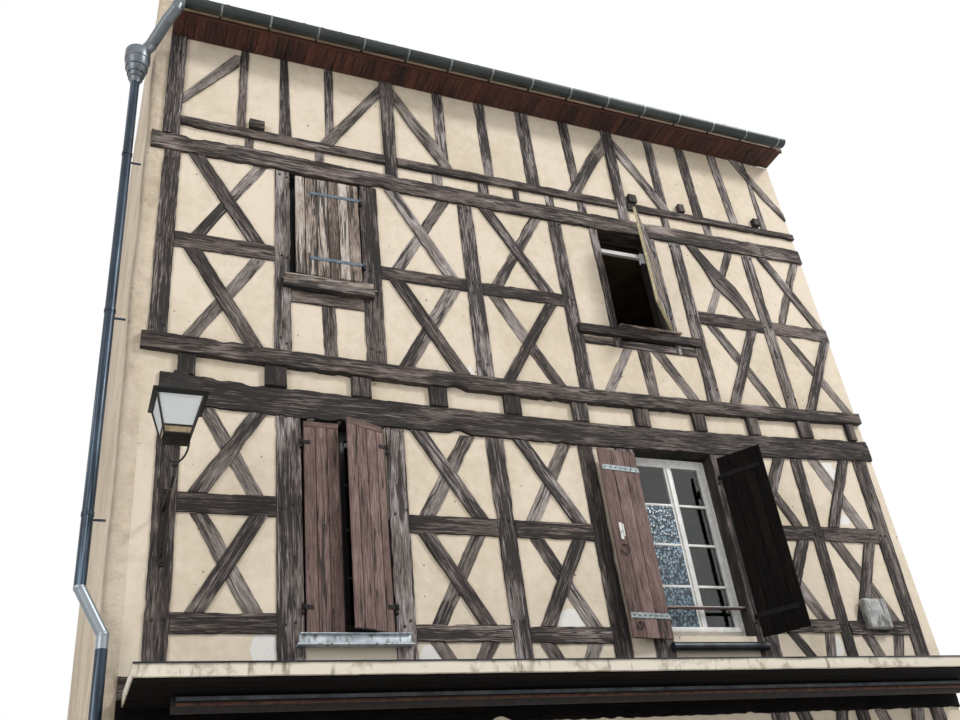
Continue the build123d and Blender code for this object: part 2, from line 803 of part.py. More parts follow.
front_windows = [
    (first_left_window, 2), (first_right_window, 2), (second_left_window, 1), (second_right_window, 0),
]
transom = block(*second_right_window[:2], *transom_level)
window_neighbours = storeys["first"]["posts"] + storeys["second"]["posts"] + [top_plate, girt_whole]
window_list = [(opening, count, slab_front) for opening, count in front_windows]
window_list += [(opening, 2, slab_rear) for opening in rear_openings]
for opening, count, place in window_list:
    neighbours = window_neighbours if place is slab_front else []
    if opening == second_right_window:
        keep("open_window_frame", [window_frame(opening, neighbours, place, [transom])])
    else:
        keep("window_frames", [window_frame(opening, neighbours, place, [])])
    for part in range(count):
        keep("casements", [casement(opening, part, count, place)])
        keep("window_glass", [pane(opening, part, count, place)])

# Shop window and doors
keep("window_frames", [window_frame(shop_window, [], slab_front, [])])
for part in range(3):
    keep("casements", [casement(shop_window, part, 3, slab_front)])
    keep("window_glass", [pane(shop_window, part, 3, slab_front)])
keep("doors", [
    build_front(block(*doorway), -60, 60 + door_thickness),
    build_rear(block(*rear_door), -60, 60 + door_thickness),
])


def sill(left, right, bottom, top, outer):
    """Window sill, notched over the posts that it crosses"""
    piece = box_between(at(left), at(right), front_y(outer), front_face, bottom, top)
    for post in nodes["front_posts"]:
        piece = piece - post
    return piece


keep("window_sills", [
    sill(1620, 2530, 3640, 3750, 90),
    sill(4890, 5900, 3600, 3685, 90),
    sill(1530, 2400, 6935, 7015, 75),
    sill(4580, 6080, 6885, 6990, 60),
])

# Guard rail of the first floor window
keep("guard_rail", [
    box_between(at(first_right_window[0]), at(first_right_window[1]), front_y(-guard_rail_set_back),
                front_y(-guard_rail_set_back - guard_rail_size),
                guard_rail_level, guard_rail_level + guard_rail_size),
])

# Canopy and awning roller
keep("canopy", [
    box_between(at(canopy_left), at(drawn_width), front_y(plate_proud), front_y(canopy_depth),
                canopy_top - canopy_thickness, canopy_top),
])
cassette_height = canopy_top - canopy_thickness - cassette_radius
roller = Cylinder(cassette_radius, at(cassette_right) - at(cassette_left))
roller_middle = Pos(at((cassette_left + cassette_right) / 2), front_y(cassette_distance), cassette_height)
keep("awning_cassette", [roller_middle * Rot(0, 90, 0) * roller])

# Junction box on the front
keep("junction_box", [
    box_between(at(junction_box[0]), at(junction_box[1]), front_y(through_proud),
                front_y(junction_box_depth), junction_box[2], junction_box[3]),
])


def gutter(side):
    """Half round trough with its end caps and the hooks that hold it to the fascia"""
    gutter_y = side * (half_depth + gutter_distance)
    low_half = Pos(0, -gutter_radius / 2) * Rectangle(2 * gutter_radius, gutter_radius)
    disc = Circle(gutter_radius) & low_half
    ring = disc - Circle(gutter_radius - gutter_wall)
    start = Plane(origin=(at(gutter_left), gutter_y, gutter_top), x_dir=(0, 1, 0), z_dir=(1, 0, 0))
    length = at(gutter_right) - at(gutter_left)
    trough = extrude(start * ring, amount=length)
    caps = [extrude(start * disc, amount=gutter_wall)]
    caps.append(extrude(start.offset(length - gutter_wall) * disc, amount=gutter_wall))
    hooks = []
    hook_count = int((length - hook_start) // hook_spacing) + 1
    for index in range(hook_count):
        place = at(gutter_left) + hook_start + index * hook_spacing
        hooks.append(box_between(place - 12, place + 12, side * deck_reach,
                                 side * (half_depth + gutter_distance - gutter_radius + hook_reach),
                                 gutter_top - 30, gutter_top - 24))
    return (trough + caps + hooks).solid()


keep("gutters", [gutter(-1), gutter(1)])


def tube(points, radius):
    """Round pipe along straight runs, with a ball at each bend"""
    shapes = []
    for start, end in zip(points, points[1:]):
        run = Plane(origin=start, z_dir=end - start)
        shapes.append(extrude(run * Circle(radius), amount=(end - start).length))
    shapes += [Pos(*bend) * Sphere(radius + bend_bead) for bend in points[1:-1]]
    pipe = shapes[0]
    for shape in shapes[1:]:
        pipe = pipe + shape
    return pipe


def place_at(distance, proud, level):
    """Point from its distance along the front, its distance before the plaster and its height"""
    return Vector(at(distance), front_y(proud), level)


# Rain pipe, which steps aside above the canopy and stands off the wall's left edge on stays
pipe_y = front_y(pipe_distance)
downpipe = tube([
    place_at(pipe_place, pipe_distance, hopper_bottom),
    place_at(pipe_place, pipe_distance, offset_high),
    place_at(pipe_place + pipe_offset, pipe_distance, offset_low),
    place_at(pipe_place + pipe_offset, pipe_distance, pipe_foot),
], pipe_radius)
for level in clip_levels:
    beside = level > offset_low
    middle = at(pipe_place) if beside else at(pipe_place + pipe_offset)
    back = front_face + stay_depth if beside else front_face
    downpipe = downpipe + Pos(middle, pipe_y, level) * Cylinder(pipe_radius + 5, 30)
    downpipe = downpipe + box_between(middle - 8, middle + 8, back, pipe_y, level - 8, level + 8)
    if beside:
        stay = box_between(middle - 8, at(left_wall_left), front_face, back, level - 8, level + 8)
        downpipe = downpipe + stay
hopper_top = hopper_bottom + hopper_height
neck = tube([
    place_at(gutter_left, gutter_distance, neck_level),
    place_at(gutter_left - 60, gutter_distance, neck_level - 15),
    place_at(gutter_left - 80, gutter_distance - 10, neck_level - 90),
    place_at(gutter_left - 150, gutter_distance - 90, neck_level - 190),
    place_at(pipe_place + 110, pipe_distance + 20, hopper_top + 130),
    place_at(pipe_place + 45, pipe_distance, hopper_top + 20),
    place_at(pipe_place + 45, pipe_distance, hopper_top - 20),
], neck_radius)
neck = neck - box_between(at(gutter_left), at(gutter_left) + 200, front_y(gutter_distance + 200),
                          front_y(gutter_distance - 200), neck_level - 200, neck_level + 200)
keep("rain_pipe", [downpipe.solid(), neck.solid()])
hopper_outside = [(share * hopper_radius, level * hopper_height) for level, share in hopper_steps]
hopper_inside = [(hopper_radius - hopper_wall, hopper_height), (hopper_radius - hopper_wall, hopper_height * 0.75),
                 (hopper_radius * 0.7, hopper_height * 0.5), (0, hopper_height * 0.5)]
hopper_profile = make_face(Polyline((0, 0), *hopper_outside, *hopper_inside, close=True))
hopper = revolve(Plane.XZ * hopper_profile, Axis.Z)
keep("hopper_head", [Pos(at(pipe_place), pipe_y, hopper_bottom) * hopper])

# Lantern on its bracket
lantern_place = 620
lantern_distance = 640
arm_level = 4690
plate_low = 4250
plate_high = 4870
bar = 12
ball_level = 4785
fork_level = 4795
glass_low = 4975
glass_high = 5268
brim_high = 5300
cap_high = 5400
vent_high = 5540
glass_width = 340
brim_width = 395
fork_reach = 95
lantern_x = at(lantern_place)
lantern_y = front_y(lantern_distance)
bar_face = front_y(post_proud + bar)
wall_bar = box_between(lantern_x - 18, lantern_x + 34, front_y(post_proud), bar_face, plate_low, plate_high)
arm = box_between(lantern_x - bar, lantern_x + bar, bar_face, lantern_y - bar,
                  arm_level - bar, arm_level + bar)
stem = Pos(lantern_x, lantern_y, (arm_level + fork_level) / 2) * Cylinder(bar, fork_level - arm_level)
ball = Pos(lantern_x, lantern_y, ball_level - bar) * Sphere(2 * bar)
fork = box_between(lantern_x - fork_reach, lantern_x + fork_reach, lantern_y - bar, lantern_y + bar,
                   fork_level - bar, fork_level)
for side in (-1, 1):
    tine = lantern_x + side * fork_reach
    fork = fork + box_between(tine - bar / 2, tine + bar / 2, lantern_y - bar, lantern_y + bar,
                              fork_level - bar, glass_low)
brace_path = ThreePointArc((lantern_x, front_y(post_proud + bar - 4), plate_low + 60),
                           (lantern_x, front_y(lantern_distance / 4), plate_low + 260),
                           (lantern_x, front_y(lantern_distance * 3 / 4), arm_level - bar + 2))
brace_start = Plane(origin=brace_path @ 0, z_dir=brace_path % 0)
brace = sweep(brace_start * Rectangle(bar, bar), path=brace_path)
keep("lantern_bracket", [(wall_bar + arm + stem + ball + fork + brace).solid()])


def lantern_tier(low, high, low_width, high_width):
    """Square tapering body between two levels"""
    return loft([
        Plane(origin=(lantern_x, lantern_y, low)) * Rectangle(low_width, low_width),
        Plane(origin=(lantern_x, lantern_y, high)) * Rectangle(high_width, high_width),
    ])


lantern_body = lantern_tier(glass_low, glass_high, 2 * fork_reach, glass_width)
lantern_body = lantern_body + lantern_tier(glass_high, brim_high, brim_width, brim_width)
lantern_body = lantern_body + lantern_tier(brim_high, cap_high, brim_width - 25, 235)
lantern_body = lantern_body + lantern_tier(cap_high, vent_high, 190, 90)
keep("lantern", [lantern_body.solid()])

# Shutter leaves: hinge place, side of the hinge, leaf width, bottom, top, rest opening in degrees
leaves = {
    "shutter_first_left_a": (first_left_window[0], "left", 301, 3757, 5562, 0),
    "shutter_first_left_b": (first_left_window[1], "right", 378, 3757, 5562, 21),
    "shutter_first_right_a": (first_right_window[0], "left", 435, 3695, 5500, 175),
    "shutter_first_right_b": (first_right_window[1], "right", 445, 3712, 5508, 126),
    "shutter_second_left": (second_left_window[1], "right", 640, 7120, 8330, 0),
    "shutter_second_right": (second_right_window[1], "right", 632, 7060, 8330, 45),
}


def hinge_axis(place, side):
    """X and Y of a pintle beside an opening"""
    away = -1 if side == "left" else 1
    return at(place + away * axis_inset), front_y(axis_distance)


for name, (place, side, width, bottom, top, opened) in leaves.items():
    towards = 1 if side == "left" else -1
    x_axis, y_axis = hinge_axis(place, side)
    axis = Axis((x_axis, y_axis, 0), (0, 0, 1))
    turn = -opened * towards
    near = x_axis + towards * leaf_edge_gap
    far = near + towards * width
    face_y = y_axis + leaf_face_gap
    leaf = box_between(near, far, face_y, face_y + leaf_thickness, bottom, top)
    bore = Cylinder(pin_radius + pin_clearance, 2 * strap_width)
    straps = []
    for level in (bottom + strap_inset, top - strap_inset):
        bar_start = x_axis + towards * (pin_radius + 4)
        bar_end = x_axis + towards * width * strap_reach
        bar = box_between(bar_start, bar_end, face_y - strap_thickness, face_y,
                          level - strap_width / 2, level + strap_width / 2)
        strap = bar + Pos(x_axis, y_axis, level) * Cylinder(eye_radius, strap_width)
        strap = strap - Pos(x_axis, y_axis, level) * bore
        straps.append(strap.solid())
        pin_low = level - strap_width / 2 - pin_drop
        pin_high = level + strap_width / 2 + pin_rise
        pin = Pos(x_axis, y_axis, (pin_low + pin_high) / 2) * Cylinder(pin_radius, pin_high - pin_low)
        foot = box_between(x_axis - 8, x_axis + 8, y_axis - 8, front_y(post_proud), pin_low - 12, pin_low)
        keep("shutter_pintles", [(pin + foot).solid()])
    keep(name, [leaf.rotate(axis, turn)])
    keep(name + "_straps", [strap.rotate(axis, turn) for strap in straps])
    print(name, "axis", round(x_axis, 1), round(y_axis, 1))

for name, solids in nodes.items():
    flat = []
    for solid in solids:
        flat += solid.solids()
    shape = flat[0] if len(flat) == 1 else Compound(children=flat)
    export_step(shape, "parts/" + name + ".step")
print(len(nodes), "nodes")
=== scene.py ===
import random
from math import atan2, cos, pi, radians, sin
import bmesh
import bpy
from mathutils import Matrix, Vector, noise


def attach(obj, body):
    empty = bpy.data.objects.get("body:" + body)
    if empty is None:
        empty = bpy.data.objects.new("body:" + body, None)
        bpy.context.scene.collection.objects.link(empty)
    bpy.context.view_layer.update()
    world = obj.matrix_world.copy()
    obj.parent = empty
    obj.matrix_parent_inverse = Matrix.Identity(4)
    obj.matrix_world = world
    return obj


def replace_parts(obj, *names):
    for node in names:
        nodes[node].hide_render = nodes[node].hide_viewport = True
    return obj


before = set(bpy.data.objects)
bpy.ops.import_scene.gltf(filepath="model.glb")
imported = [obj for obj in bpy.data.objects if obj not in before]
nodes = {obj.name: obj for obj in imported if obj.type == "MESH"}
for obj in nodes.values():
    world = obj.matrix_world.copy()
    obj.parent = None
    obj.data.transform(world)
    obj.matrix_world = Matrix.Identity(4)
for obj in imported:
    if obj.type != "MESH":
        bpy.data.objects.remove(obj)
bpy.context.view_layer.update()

frontY = -4.0        # plaster face of the street front
leftX = -4.0         # left face of the house, from which the facade distances below count
innerLeft = -3.605   # where the front meets the left party wall
boundaryX = 4.0      # plain party wall that the next house would stand against
rearmostY = 4.502    # outer side of the rear gutter


def hexColor(code):
    # sRGB hex to the linear colour that the shader wants
    parts = [int(code[i:i + 2], 16) / 255 for i in (1, 3, 5)]
    return [p / 12.92 if p <= 0.04045 else ((p + 0.055) / 1.055) ** 2.4 for p in parts] + [1.0]


def addNode(tree, kind, inputs=None, **settings):
    node = tree.nodes.new(kind)
    for key, value in settings.items():
        setattr(node, key, value)
    for socket, value in (inputs or {}).items():
        if isinstance(value, bpy.types.NodeSocket):
            tree.links.new(value, node.inputs[socket])
        else:
            node.inputs[socket].default_value = value
    return node


def mathNode(tree, operation, *values):
    return addNode(tree, "ShaderNodeMath", dict(enumerate(values)), operation=operation).outputs[0]


def noiseNode(tree, place, scale, detail, roughness=0.5):
    return addNode(tree, "ShaderNodeTexNoise", {"Vector": place, "Scale": scale, "Detail": detail,
                                                "Roughness": roughness}).outputs["Fac"]


def rangeNode(tree, value, low, high, toLow=0.0, toHigh=1.0):
    return addNode(tree, "ShaderNodeMapRange", {"Value": value, "From Min": low, "From Max": high, "To Min": toLow,
                                                "To Max": toHigh}).outputs[0]


def mixNode(tree, share, color, over):
    # a colour laid over another, given as hex code or socket
    over = hexColor(over) if isinstance(over, str) else over
    return addNode(tree, "ShaderNodeMix", {"Factor": share, "A": color, "B": over}, data_type="RGBA").outputs["Result"]


def rampNode(tree, value, *stops):
    # colours along a value, given as (position, hex code)
    node = addNode(tree, "ShaderNodeValToRGB", {"Fac": value})
    elements = node.color_ramp.elements
    for index in (0, -1):
        elements[index].position, elements[index].color = stops[index][0], hexColor(stops[index][1])
    for position, code in stops[1:-1]:
        elements.new(position).color = hexColor(code)
    return node.outputs["Color"]


def sumOf(tree, *terms):
    # weighted sum of sockets, given as (socket, weight)
    total = mathNode(tree, "MULTIPLY", *terms[0])
    for socket, weight in terms[1:]:
        total = mathNode(tree, "MULTIPLY_ADD", socket, weight, total)
    return total


def attributeNode(tree, name, output="Fac"):
    return addNode(tree, "ShaderNodeAttribute", attribute_name=name).outputs[output]


def newMaterial(name, roughness=0.6, metallic=0.0, **sockets):
    material = bpy.data.materials.new(name)
    material.use_nodes = True
    tree = material.node_tree
    shader = tree.nodes["Principled BSDF"]
    shader.inputs["Roughness"].default_value = roughness
    shader.inputs["Metallic"].default_value = metallic
    for socket, value in sockets.items():
        shader.inputs[socket.replace("_", " ")].default_value = value
    return material, tree, shader


def addBump(tree, shader, height, distance, strength=1.0, below=None):
    inputs = {"Height": height, "Distance": distance, "Strength": strength}
    if below is not None:
        inputs["Normal"] = below
    bump = addNode(tree, "ShaderNodeBump", inputs)
    tree.links.new(bump.outputs[0], shader.inputs["Normal"])
    return bump.outputs[0]


def newShape():
    # a bmesh that carries the wood's grain coordinates and a tone for each board
    bm = bmesh.new()
    bm.verts.layers.float_vector.new("grain")
    bm.verts.layers.float.new("tone")
    return bm


def nodeShape(nodeName, dissolve=True):
    # the plain form of a CAD node, its flat faces whole again
    bm = bmesh.new()
    bm.from_mesh(nodes[nodeName].data)
    bmesh.ops.remove_doubles(bm, verts=bm.verts, dist=1e-5)
    if dissolve:
        bmesh.ops.dissolve_limit(bm, angle_limit=radians(0.5), verts=bm.verts, edges=bm.edges)
    return bm


def mergeInto(bm, part, turn=None):
    # adds one bmesh to another and frees it
    if turn:
        bmesh.ops.transform(part, matrix=turn, verts=part.verts)
    mesh = bpy.data.meshes.new("part")
    part.to_mesh(mesh)
    part.free()
    bm.from_mesh(mesh)
    bpy.data.meshes.remove(mesh)


def cutAt(bm, place, normal, dist=1e-4, clear=False):
    # cuts all faces along a plane, and drops what lies beyond it where asked
    bmesh.ops.bisect_plane(bm, geom=bm.verts[:] + bm.edges[:] + bm.faces[:], dist=dist, plane_co=place,
                           plane_no=normal, clear_outer=clear)


def roundEdges(bm, edges, offset, segments=2, clamp=False):
    bmesh.ops.bevel(bm, geom=edges, offset=offset, segments=segments, profile=0.5, affect="EDGES", material=-1,
                    clamp_overlap=clamp)


def setTone(part, tone):
    layer = part.verts.layers.float["tone"]
    for vert in part.verts:
        vert[layer] = tone


def setGrain(part, axis, seed):
    grain = part.verts.layers.float_vector["grain"]
    for vert in part.verts:
        c = vert.co
        vert[grain] = (c[axis] + seed * 3.7, c[(axis + 1) % 3] + seed * 1.3, c[(axis + 2) % 3] + seed * 2.1)


def boxPart(low, high):
    part = newShape()
    bmesh.ops.create_cube(part, size=1)
    bmesh.ops.scale(part, vec=Vector(high) - Vector(low), verts=part.verts)
    bmesh.ops.translate(part, vec=(Vector(high) + Vector(low)) / 2, verts=part.verts)
    return part


def addBox(bm, low, high, bevel=0.0, segments=1, axis=0, seed=0.0, tone=0.0, turn=None):
    # bevelled box between two corners, its grain along one axis
    part = boxPart(low, high)
    if bevel:
        roundEdges(part, part.edges[:], bevel, segments)
    setGrain(part, axis, seed)
    setTone(part, tone)
    mergeInto(bm, part, turn)


def addRod(bm, start, end, radius, segments=12, endRadius=None, turn=None):
    # round bar between two points, or a cone where the ends differ
    part = newShape()
    start, end = Vector(start), Vector(end)
    bmesh.ops.create_cone(part, cap_ends=True, segments=segments, radius1=radius,
                          radius2=radius if endRadius is None else endRadius, depth=(end - start).length)
    lay = (end - start).to_track_quat("Z", "Y").to_matrix().to_4x4()
    bmesh.ops.transform(part, matrix=Matrix.Translation((start + end) / 2) @ lay, verts=part.verts)
    mergeInto(bm, part, turn)


def addPath(bm, path, radius):
    # thin round bar through a row of points
    for start, end in zip(path, path[1:]):
        addRod(bm, start, end, radius, 8)


def addBall(bm, middle, radius, turn=None):
    part = newShape()
    bmesh.ops.create_uvsphere(part, u_segments=12, v_segments=8, radius=radius)
    bmesh.ops.translate(part, vec=middle, verts=part.verts)
    mergeInto(bm, part, turn)


def addArc(bm, section, middle, axis, angle, steps, turn=None):
    # sweeps a small section, given by its middle, two sizes and turn, round an axis
    part = newShape()
    bmesh.ops.create_grid(part, x_segments=1, y_segments=1, size=0.5)
    bmesh.ops.scale(part, vec=(section[1], section[2], 1), verts=part.verts)
    bmesh.ops.rotate(part, matrix=Matrix.Rotation(radians(section[3]), 3, section[4]), verts=part.verts)
    bmesh.ops.translate(part, vec=section[0], verts=part.verts)
    bmesh.ops.spin(part, geom=part.verts[:] + part.edges[:] + part.faces[:], cent=middle, axis=axis,
                   angle=radians(angle), steps=steps, use_merge=angle == 360)
    bmesh.ops.remove_doubles(part, verts=part.verts, dist=1e-5)
    bmesh.ops.recalc_face_normals(part, faces=part.faces)
    mergeInto(bm, part, turn)


def finishPiece(name, bm, material, body="house"):
    # a bmesh becomes a piece that rides on its body, with edges over 35 degrees kept sharp
    for vert in bm.verts:
        vert.co.x = min(vert.co.x, boundaryX)
        vert.co.y = min(vert.co.y, rearmostY)
    for face in bm.faces:
        face.smooth = True
    for edge in bm.edges:
        if len(edge.link_faces) == 2 and edge.calc_face_angle(0) > radians(35):
            edge.smooth = False
    mesh = bpy.data.meshes.new(name)
    bm.to_mesh(mesh)
    bm.free()
    piece = bpy.data.objects.new(name, mesh)
    bpy.context.scene.collection.objects.link(piece)
    mesh.materials.append(material)
    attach(piece, body)
    return piece


def boxPiece(name, material, slot, *boxes):
    # a piece of bevelled boxes, each given as low corner, high corner, bevel, bevel steps, grain axis, seed, tone
    bm = newShape()
    for box in boxes:
        addBox(bm, *box)
    return finishPiece(name, bm, material)


def wobble(point, size, seed=0.0):
    # smooth noise between -1 and 1 with features about size metres wide
    return noise.noise(Vector(point) / size + Vector((seed, seed * 0.7, -seed)))


def makeOak(name, *codes, checks=0.5, seed=0.0, shine=0.0, gloss=0.5):
    # oak from its darkest to its most silvered colour, with dark checks along the grain
    material, tree, shader = newMaterial(name, roughness=0.86 - shine, Specular_IOR_Level=gloss)
    grain = attributeNode(tree, "grain", "Vector")

    def stretched(along, across, detail, shift=0.0):
        mapping = addNode(tree, "ShaderNodeMapping", {"Vector": grain, "Scale": (along, across, across),
                                                      "Location": (shift + seed, shift, shift)})
        return noiseNode(tree, mapping.outputs[0], 1.0, detail, 0.6)

    def crackOf(along, across, shift, widest, low):
        # thin lines where a stretched noise crosses its middle, kept to some lengths
        gap = mathNode(tree, "ABSOLUTE", mathNode(tree, "SUBTRACT", stretched(along, across, 2, shift), 0.5))
        width = rangeNode(tree, stretched(1.3, 6, 2, shift + 6), low, low + 0.16, -0.012, widest)
        return rangeNode(tree, mathNode(tree, "SUBTRACT", gap, width), -0.006, 0.01, 1.0, 0.0)

    fine = stretched(9, 130, 4)            # growth rings, about 8 mm apart
    streak = stretched(3, 40, 5, 3.1)      # silvery streaks 3 cm wide
    patch = stretched(1.6, 4, 3, 7.7)      # broad light and dark lengths
    mixed = sumOf(tree, (fine, 0.75), (streak, 0.4), (patch, 0.35), (attributeNode(tree, "tone"), 1.0))
    color = rampNode(tree, mixed, *zip((0.58, 0.70, 0.81, 0.92), codes))
    deep = crackOf(0.9, 19, 11.0, 0.03 + 0.04 * checks, 0.51 - 0.09 * checks)    # drying checks, up to 8 mm wide
    thin = crackOf(2.0, 62, 23.0, 0.07, 0.57 - 0.14 * checks)                    # hairline checks
    crack = mathNode(tree, "MAXIMUM", deep, thin)
    color = mixNode(tree, mathNode(tree, "MULTIPLY", crack, 0.86), color, "#14110f")
    tree.links.new(color, shader.inputs["Base Color"])
    first = addBump(tree, shader, sumOf(tree, (fine, 0.5), (streak, 0.9)), 0.014, 0.8)
    addBump(tree, shader, mathNode(tree, "SUBTRACT", 1.0, crack), 0.014, 1.0, first)
    return material


def makePlaster(name, base, shade, grit, pits, lumps, seed=0.0, joints=None, fresh=False):
    # lime plaster: floated flat with soft trowel waves, sand grit and small blown pits
    material, tree, shader = newMaterial(name, roughness=0.93)
    place = addNode(tree, "ShaderNodeTexCoord").outputs["Object"]
    moved = addNode(tree, "ShaderNodeMapping", {"Vector": place, "Location": (seed, seed, seed)}).outputs[0]
    broad = noiseNode(tree, moved, 1.1, 4, 0.6)    # metre-wide clouds of damp and dust
    mottle = noiseNode(tree, moved, 9, 5, 0.65)    # hand-sized mottle
    sand = noiseNode(tree, moved, 200, 2)          # 5 mm sand, drawn coarse so that it shows
    trowel = noiseNode(tree, moved, 12, 3)
    color = rampNode(tree, sumOf(tree, (broad, 0.6), (mottle, 0.4)), (0.38, shade), (0.55, base), (0.8, base))
    cells = addNode(tree, "ShaderNodeTexVoronoi", {"Vector": moved, "Scale": pits, "Randomness": 1.0})
    size = rangeNode(tree, noiseNode(tree, moved, 23, 1), 0.5, 0.75, 0.0, 0.16)
    hole = mathNode(tree, "LESS_THAN", cells.outputs["Distance"], size)
    color = mixNode(tree, hole, color, "#8a7a62")
    if fresh:
        # newer, whiter patches where the plaster was made good
        new = sumOf(tree, (attributeNode(tree, "fresh"), 1.0), (mottle, 0.35))
        color = mixNode(tree, rangeNode(tree, new, 0.62, 0.7), color, "#e9e6df")
    height = sumOf(tree, (sand, grit), (trowel, lumps), (hole, -0.6))
    if joints:
        # laid blocks with recessed joints, their size in metres
        flat = addNode(tree, "ShaderNodeMapping", {"Vector": place, "Rotation": (radians(90), 0, 0)}).outputs[0]
        bricks = addNode(tree, "ShaderNodeTexBrick", {
            "Vector": flat, "Scale": 1.0, "Brick Width": joints[0], "Row Height": joints[1], "Mortar Size": 0.008,
            "Color1": hexColor(base), "Color2": hexColor(shade), "Mortar": hexColor("#7d7463")})
        color = mixNode(tree, 0.6, color, bricks.outputs["Color"])
        height = sumOf(tree, (height, 1.0), (bricks.outputs["Fac"], -1.5))
    tree.links.new(color, shader.inputs["Base Color"])
    addBump(tree, shader, height, 0.007, 0.9)
    return material


def makeCoated(name, base, shade, roughness, metallic=0.0, scale=12.0, bump=0.0008, spread=(0.35, 0.7), run=None,
               bands=(), toned=0.0, shaded=None, **sockets):
    # painted or sheet-metal finish with clouded dirt, rain runs where asked, and a faint unevenness
    material, tree, shader = newMaterial(name, roughness, metallic, **sockets)
    place = addNode(tree, "ShaderNodeTexCoord").outputs["Object"]
    spot = addNode(tree, "ShaderNodeSeparateXYZ", {0: place}).outputs
    color = rampNode(tree, noiseNode(tree, place, scale, 5, 0.65), (spread[0], shade), (spread[1], base))
    if run:
        # run = (colour, streak width in metres, streak length, share)
        code, width, length, share = run
        tall = addNode(tree, "ShaderNodeMapping", {"Vector": place, "Scale": (1 / width, 1 / width, 1 / length)})
        stain = noiseNode(tree, tall.outputs[0], 1.0, 4)
        color = mixNode(tree, rangeNode(tree, stain, 0.62 - 0.3 * share, 0.74 - 0.2 * share), color, code)
    for code, low, high in bands:
        # another colour between two heights
        between = mathNode(tree, "MULTIPLY", mathNode(tree, "GREATER_THAN", spot["Z"], low),
                           mathNode(tree, "LESS_THAN", spot["Z"], high))
        color = mixNode(tree, between, color, code)
    if shaded:
        # painted shade: darker where closed leaves keep the sun off; shaded = (colour, furthest x, furthest y)
        code, x, y = shaded
        behind = mathNode(tree, "MULTIPLY", mathNode(tree, "LESS_THAN", spot["X"], x),
                          mathNode(tree, "LESS_THAN", spot["Y"], y))
        color = mixNode(tree, behind, color, code)
    if toned:
        # each piece a little lighter or darker than the next
        value = mathNode(tree, "MULTIPLY_ADD", attributeNode(tree, "tone"), toned, 1.0)
        color = addNode(tree, "ShaderNodeHueSaturation", {"Color": color, "Value": value}).outputs["Color"]
    tree.links.new(color, shader.inputs["Base Color"])
    addBump(tree, shader, noiseNode(tree, place, scale * 9, 3), bump, 0.7)
    return material


def makeGlass(name, tint, roughness, transmission, waves=0.0, scale=20.0):
    # float glass, or figured glass where waves are asked for
    material, tree, shader = newMaterial(name, roughness=roughness, IOR=1.5, Transmission_Weight=transmission)
    shader.inputs["Base Color"].default_value = hexColor(tint)
    if waves:
        place = addNode(tree, "ShaderNodeTexCoord").outputs["Object"]
        cells = addNode(tree, "ShaderNodeTexVoronoi", {"Vector": place, "Scale": scale}).outputs["Distance"]
        # the cells are painted from the tint to blue-grey, a painted reflection of broken light
        tree.links.new(rampNode(tree, cells, (0.15, tint), (0.6, "#33424c")), shader.inputs["Base Color"])
        addBump(tree, shader, cells, waves, 1.0)
    return material


# posts: silvered ridges between dark checks
oak = makeOak("weatheredOak", "#2e2623", "#5c514b", "#857b77", "#b3aaa7", checks=0.8)
# heavy beams: darker, less silver, deeply checked
oakBeam = makeOak("weatheredOakBeam", "#27201d", "#4c423d", "#6b605a", "#8d837e", checks=1.0, seed=5.0)
# crosses flush with the plaster: paler and smoother
oakPale = makeOak("weatheredOakPale", "#433a36", "#70665f", "#938983", "#b1a8a4", checks=0.5, seed=9.0)
# rails: browner, as under old stain
oakBrown = makeOak("weatheredOakBrown", "#2f2723", "#5a4e47", "#7c6f68", "#a09590", checks=0.9, seed=13.0)
# red-brown stain gone matt, without checks
shutterRed = makeOak("shutterBoardsStained", "#4a3631", "#634d46", "#775f58", "#947d76", seed=21.0, checks=0.0,
                     shine=0.1)
# room side of a leaf, painted nearly black as painted shade: the leaf stands in shadow
shutterShadePainted = makeOak("shutterBoardsShaded", "#060505", "#0e0b0a", "#17120f", "#221b17", seed=23.0, checks=0.1,
                      gloss=0.12)
# bare grey boards bleached by the sun, with open checks
shutterGrey = makeOak("shutterBoardsBare", "#4a3d35", "#8a7a6f", "#b0a296", "#cfc5bb", checks=0.7, seed=25.0)
# red-brown boards, their colours darkened as painted shade under the eaves
soffitWoodShadeDarkened = makeOak("soffitBoardsStainedShadeDarkened", "#23110d", "#3a1d15", "#4b281d", "#5c3527", seed=31.0, checks=0.0,
                     shine=0.1)
# warm brown with a varnish sheen
doorWood = makeOak("doorOakVarnished", "#2c1d14", "#4a3222", "#634630", "#785a42", seed=35.0, checks=0.0, shine=0.35)
# dull tan boards, hardly seen
floorWood = makeCoated("floorBoardsPlain", "#8a7458", "#6b5842", 0.7, scale=4)
# warm cream, floated, with pits and a few whiter patches
plaster = makePlaster("limePlasterFloated", "#e3d5c0", "#d3c4ac", grit=0.4, pits=10, lumps=1.0, fresh=True)
# coarse lumpy render that catches raking light
render = makePlaster("rubbleWallRender", "#dfcfb8", "#c3b199", grit=1.0, pits=12, lumps=5.0, seed=4.0)
# flat dull render of the hidden walls
plainRender = makePlaster("partyWallRender", "#cdbfa6", "#b4a68c", grit=0.35, pits=14, lumps=1.4, seed=8.0)
# grey-beige blocks with sunk joints
stone = makePlaster("dressedLimestone", "#b9ae9a", "#988d79", grit=0.35, pits=18, lumps=0.8, seed=12.0,
                    joints=(0.62, 0.175))
# dark green-grey sheet, dulled by age
gutterZinc = makeCoated("zincSheetWeathered", "#444a49", "#343938", 0.4, metallic=0.6, scale=1.5)
# lighter solder bands on the gutter
seamZinc = makeCoated("zincSeamBright", "#929a99", "#6b7372", 0.4, metallic=0.5, scale=12)
# mid-grey elbows and hopper, newer than the pipe
elbowZinc = makeCoated("zincElbowGrey", "#7d8388", "#4c5156", 0.35, metallic=0.6, scale=5)
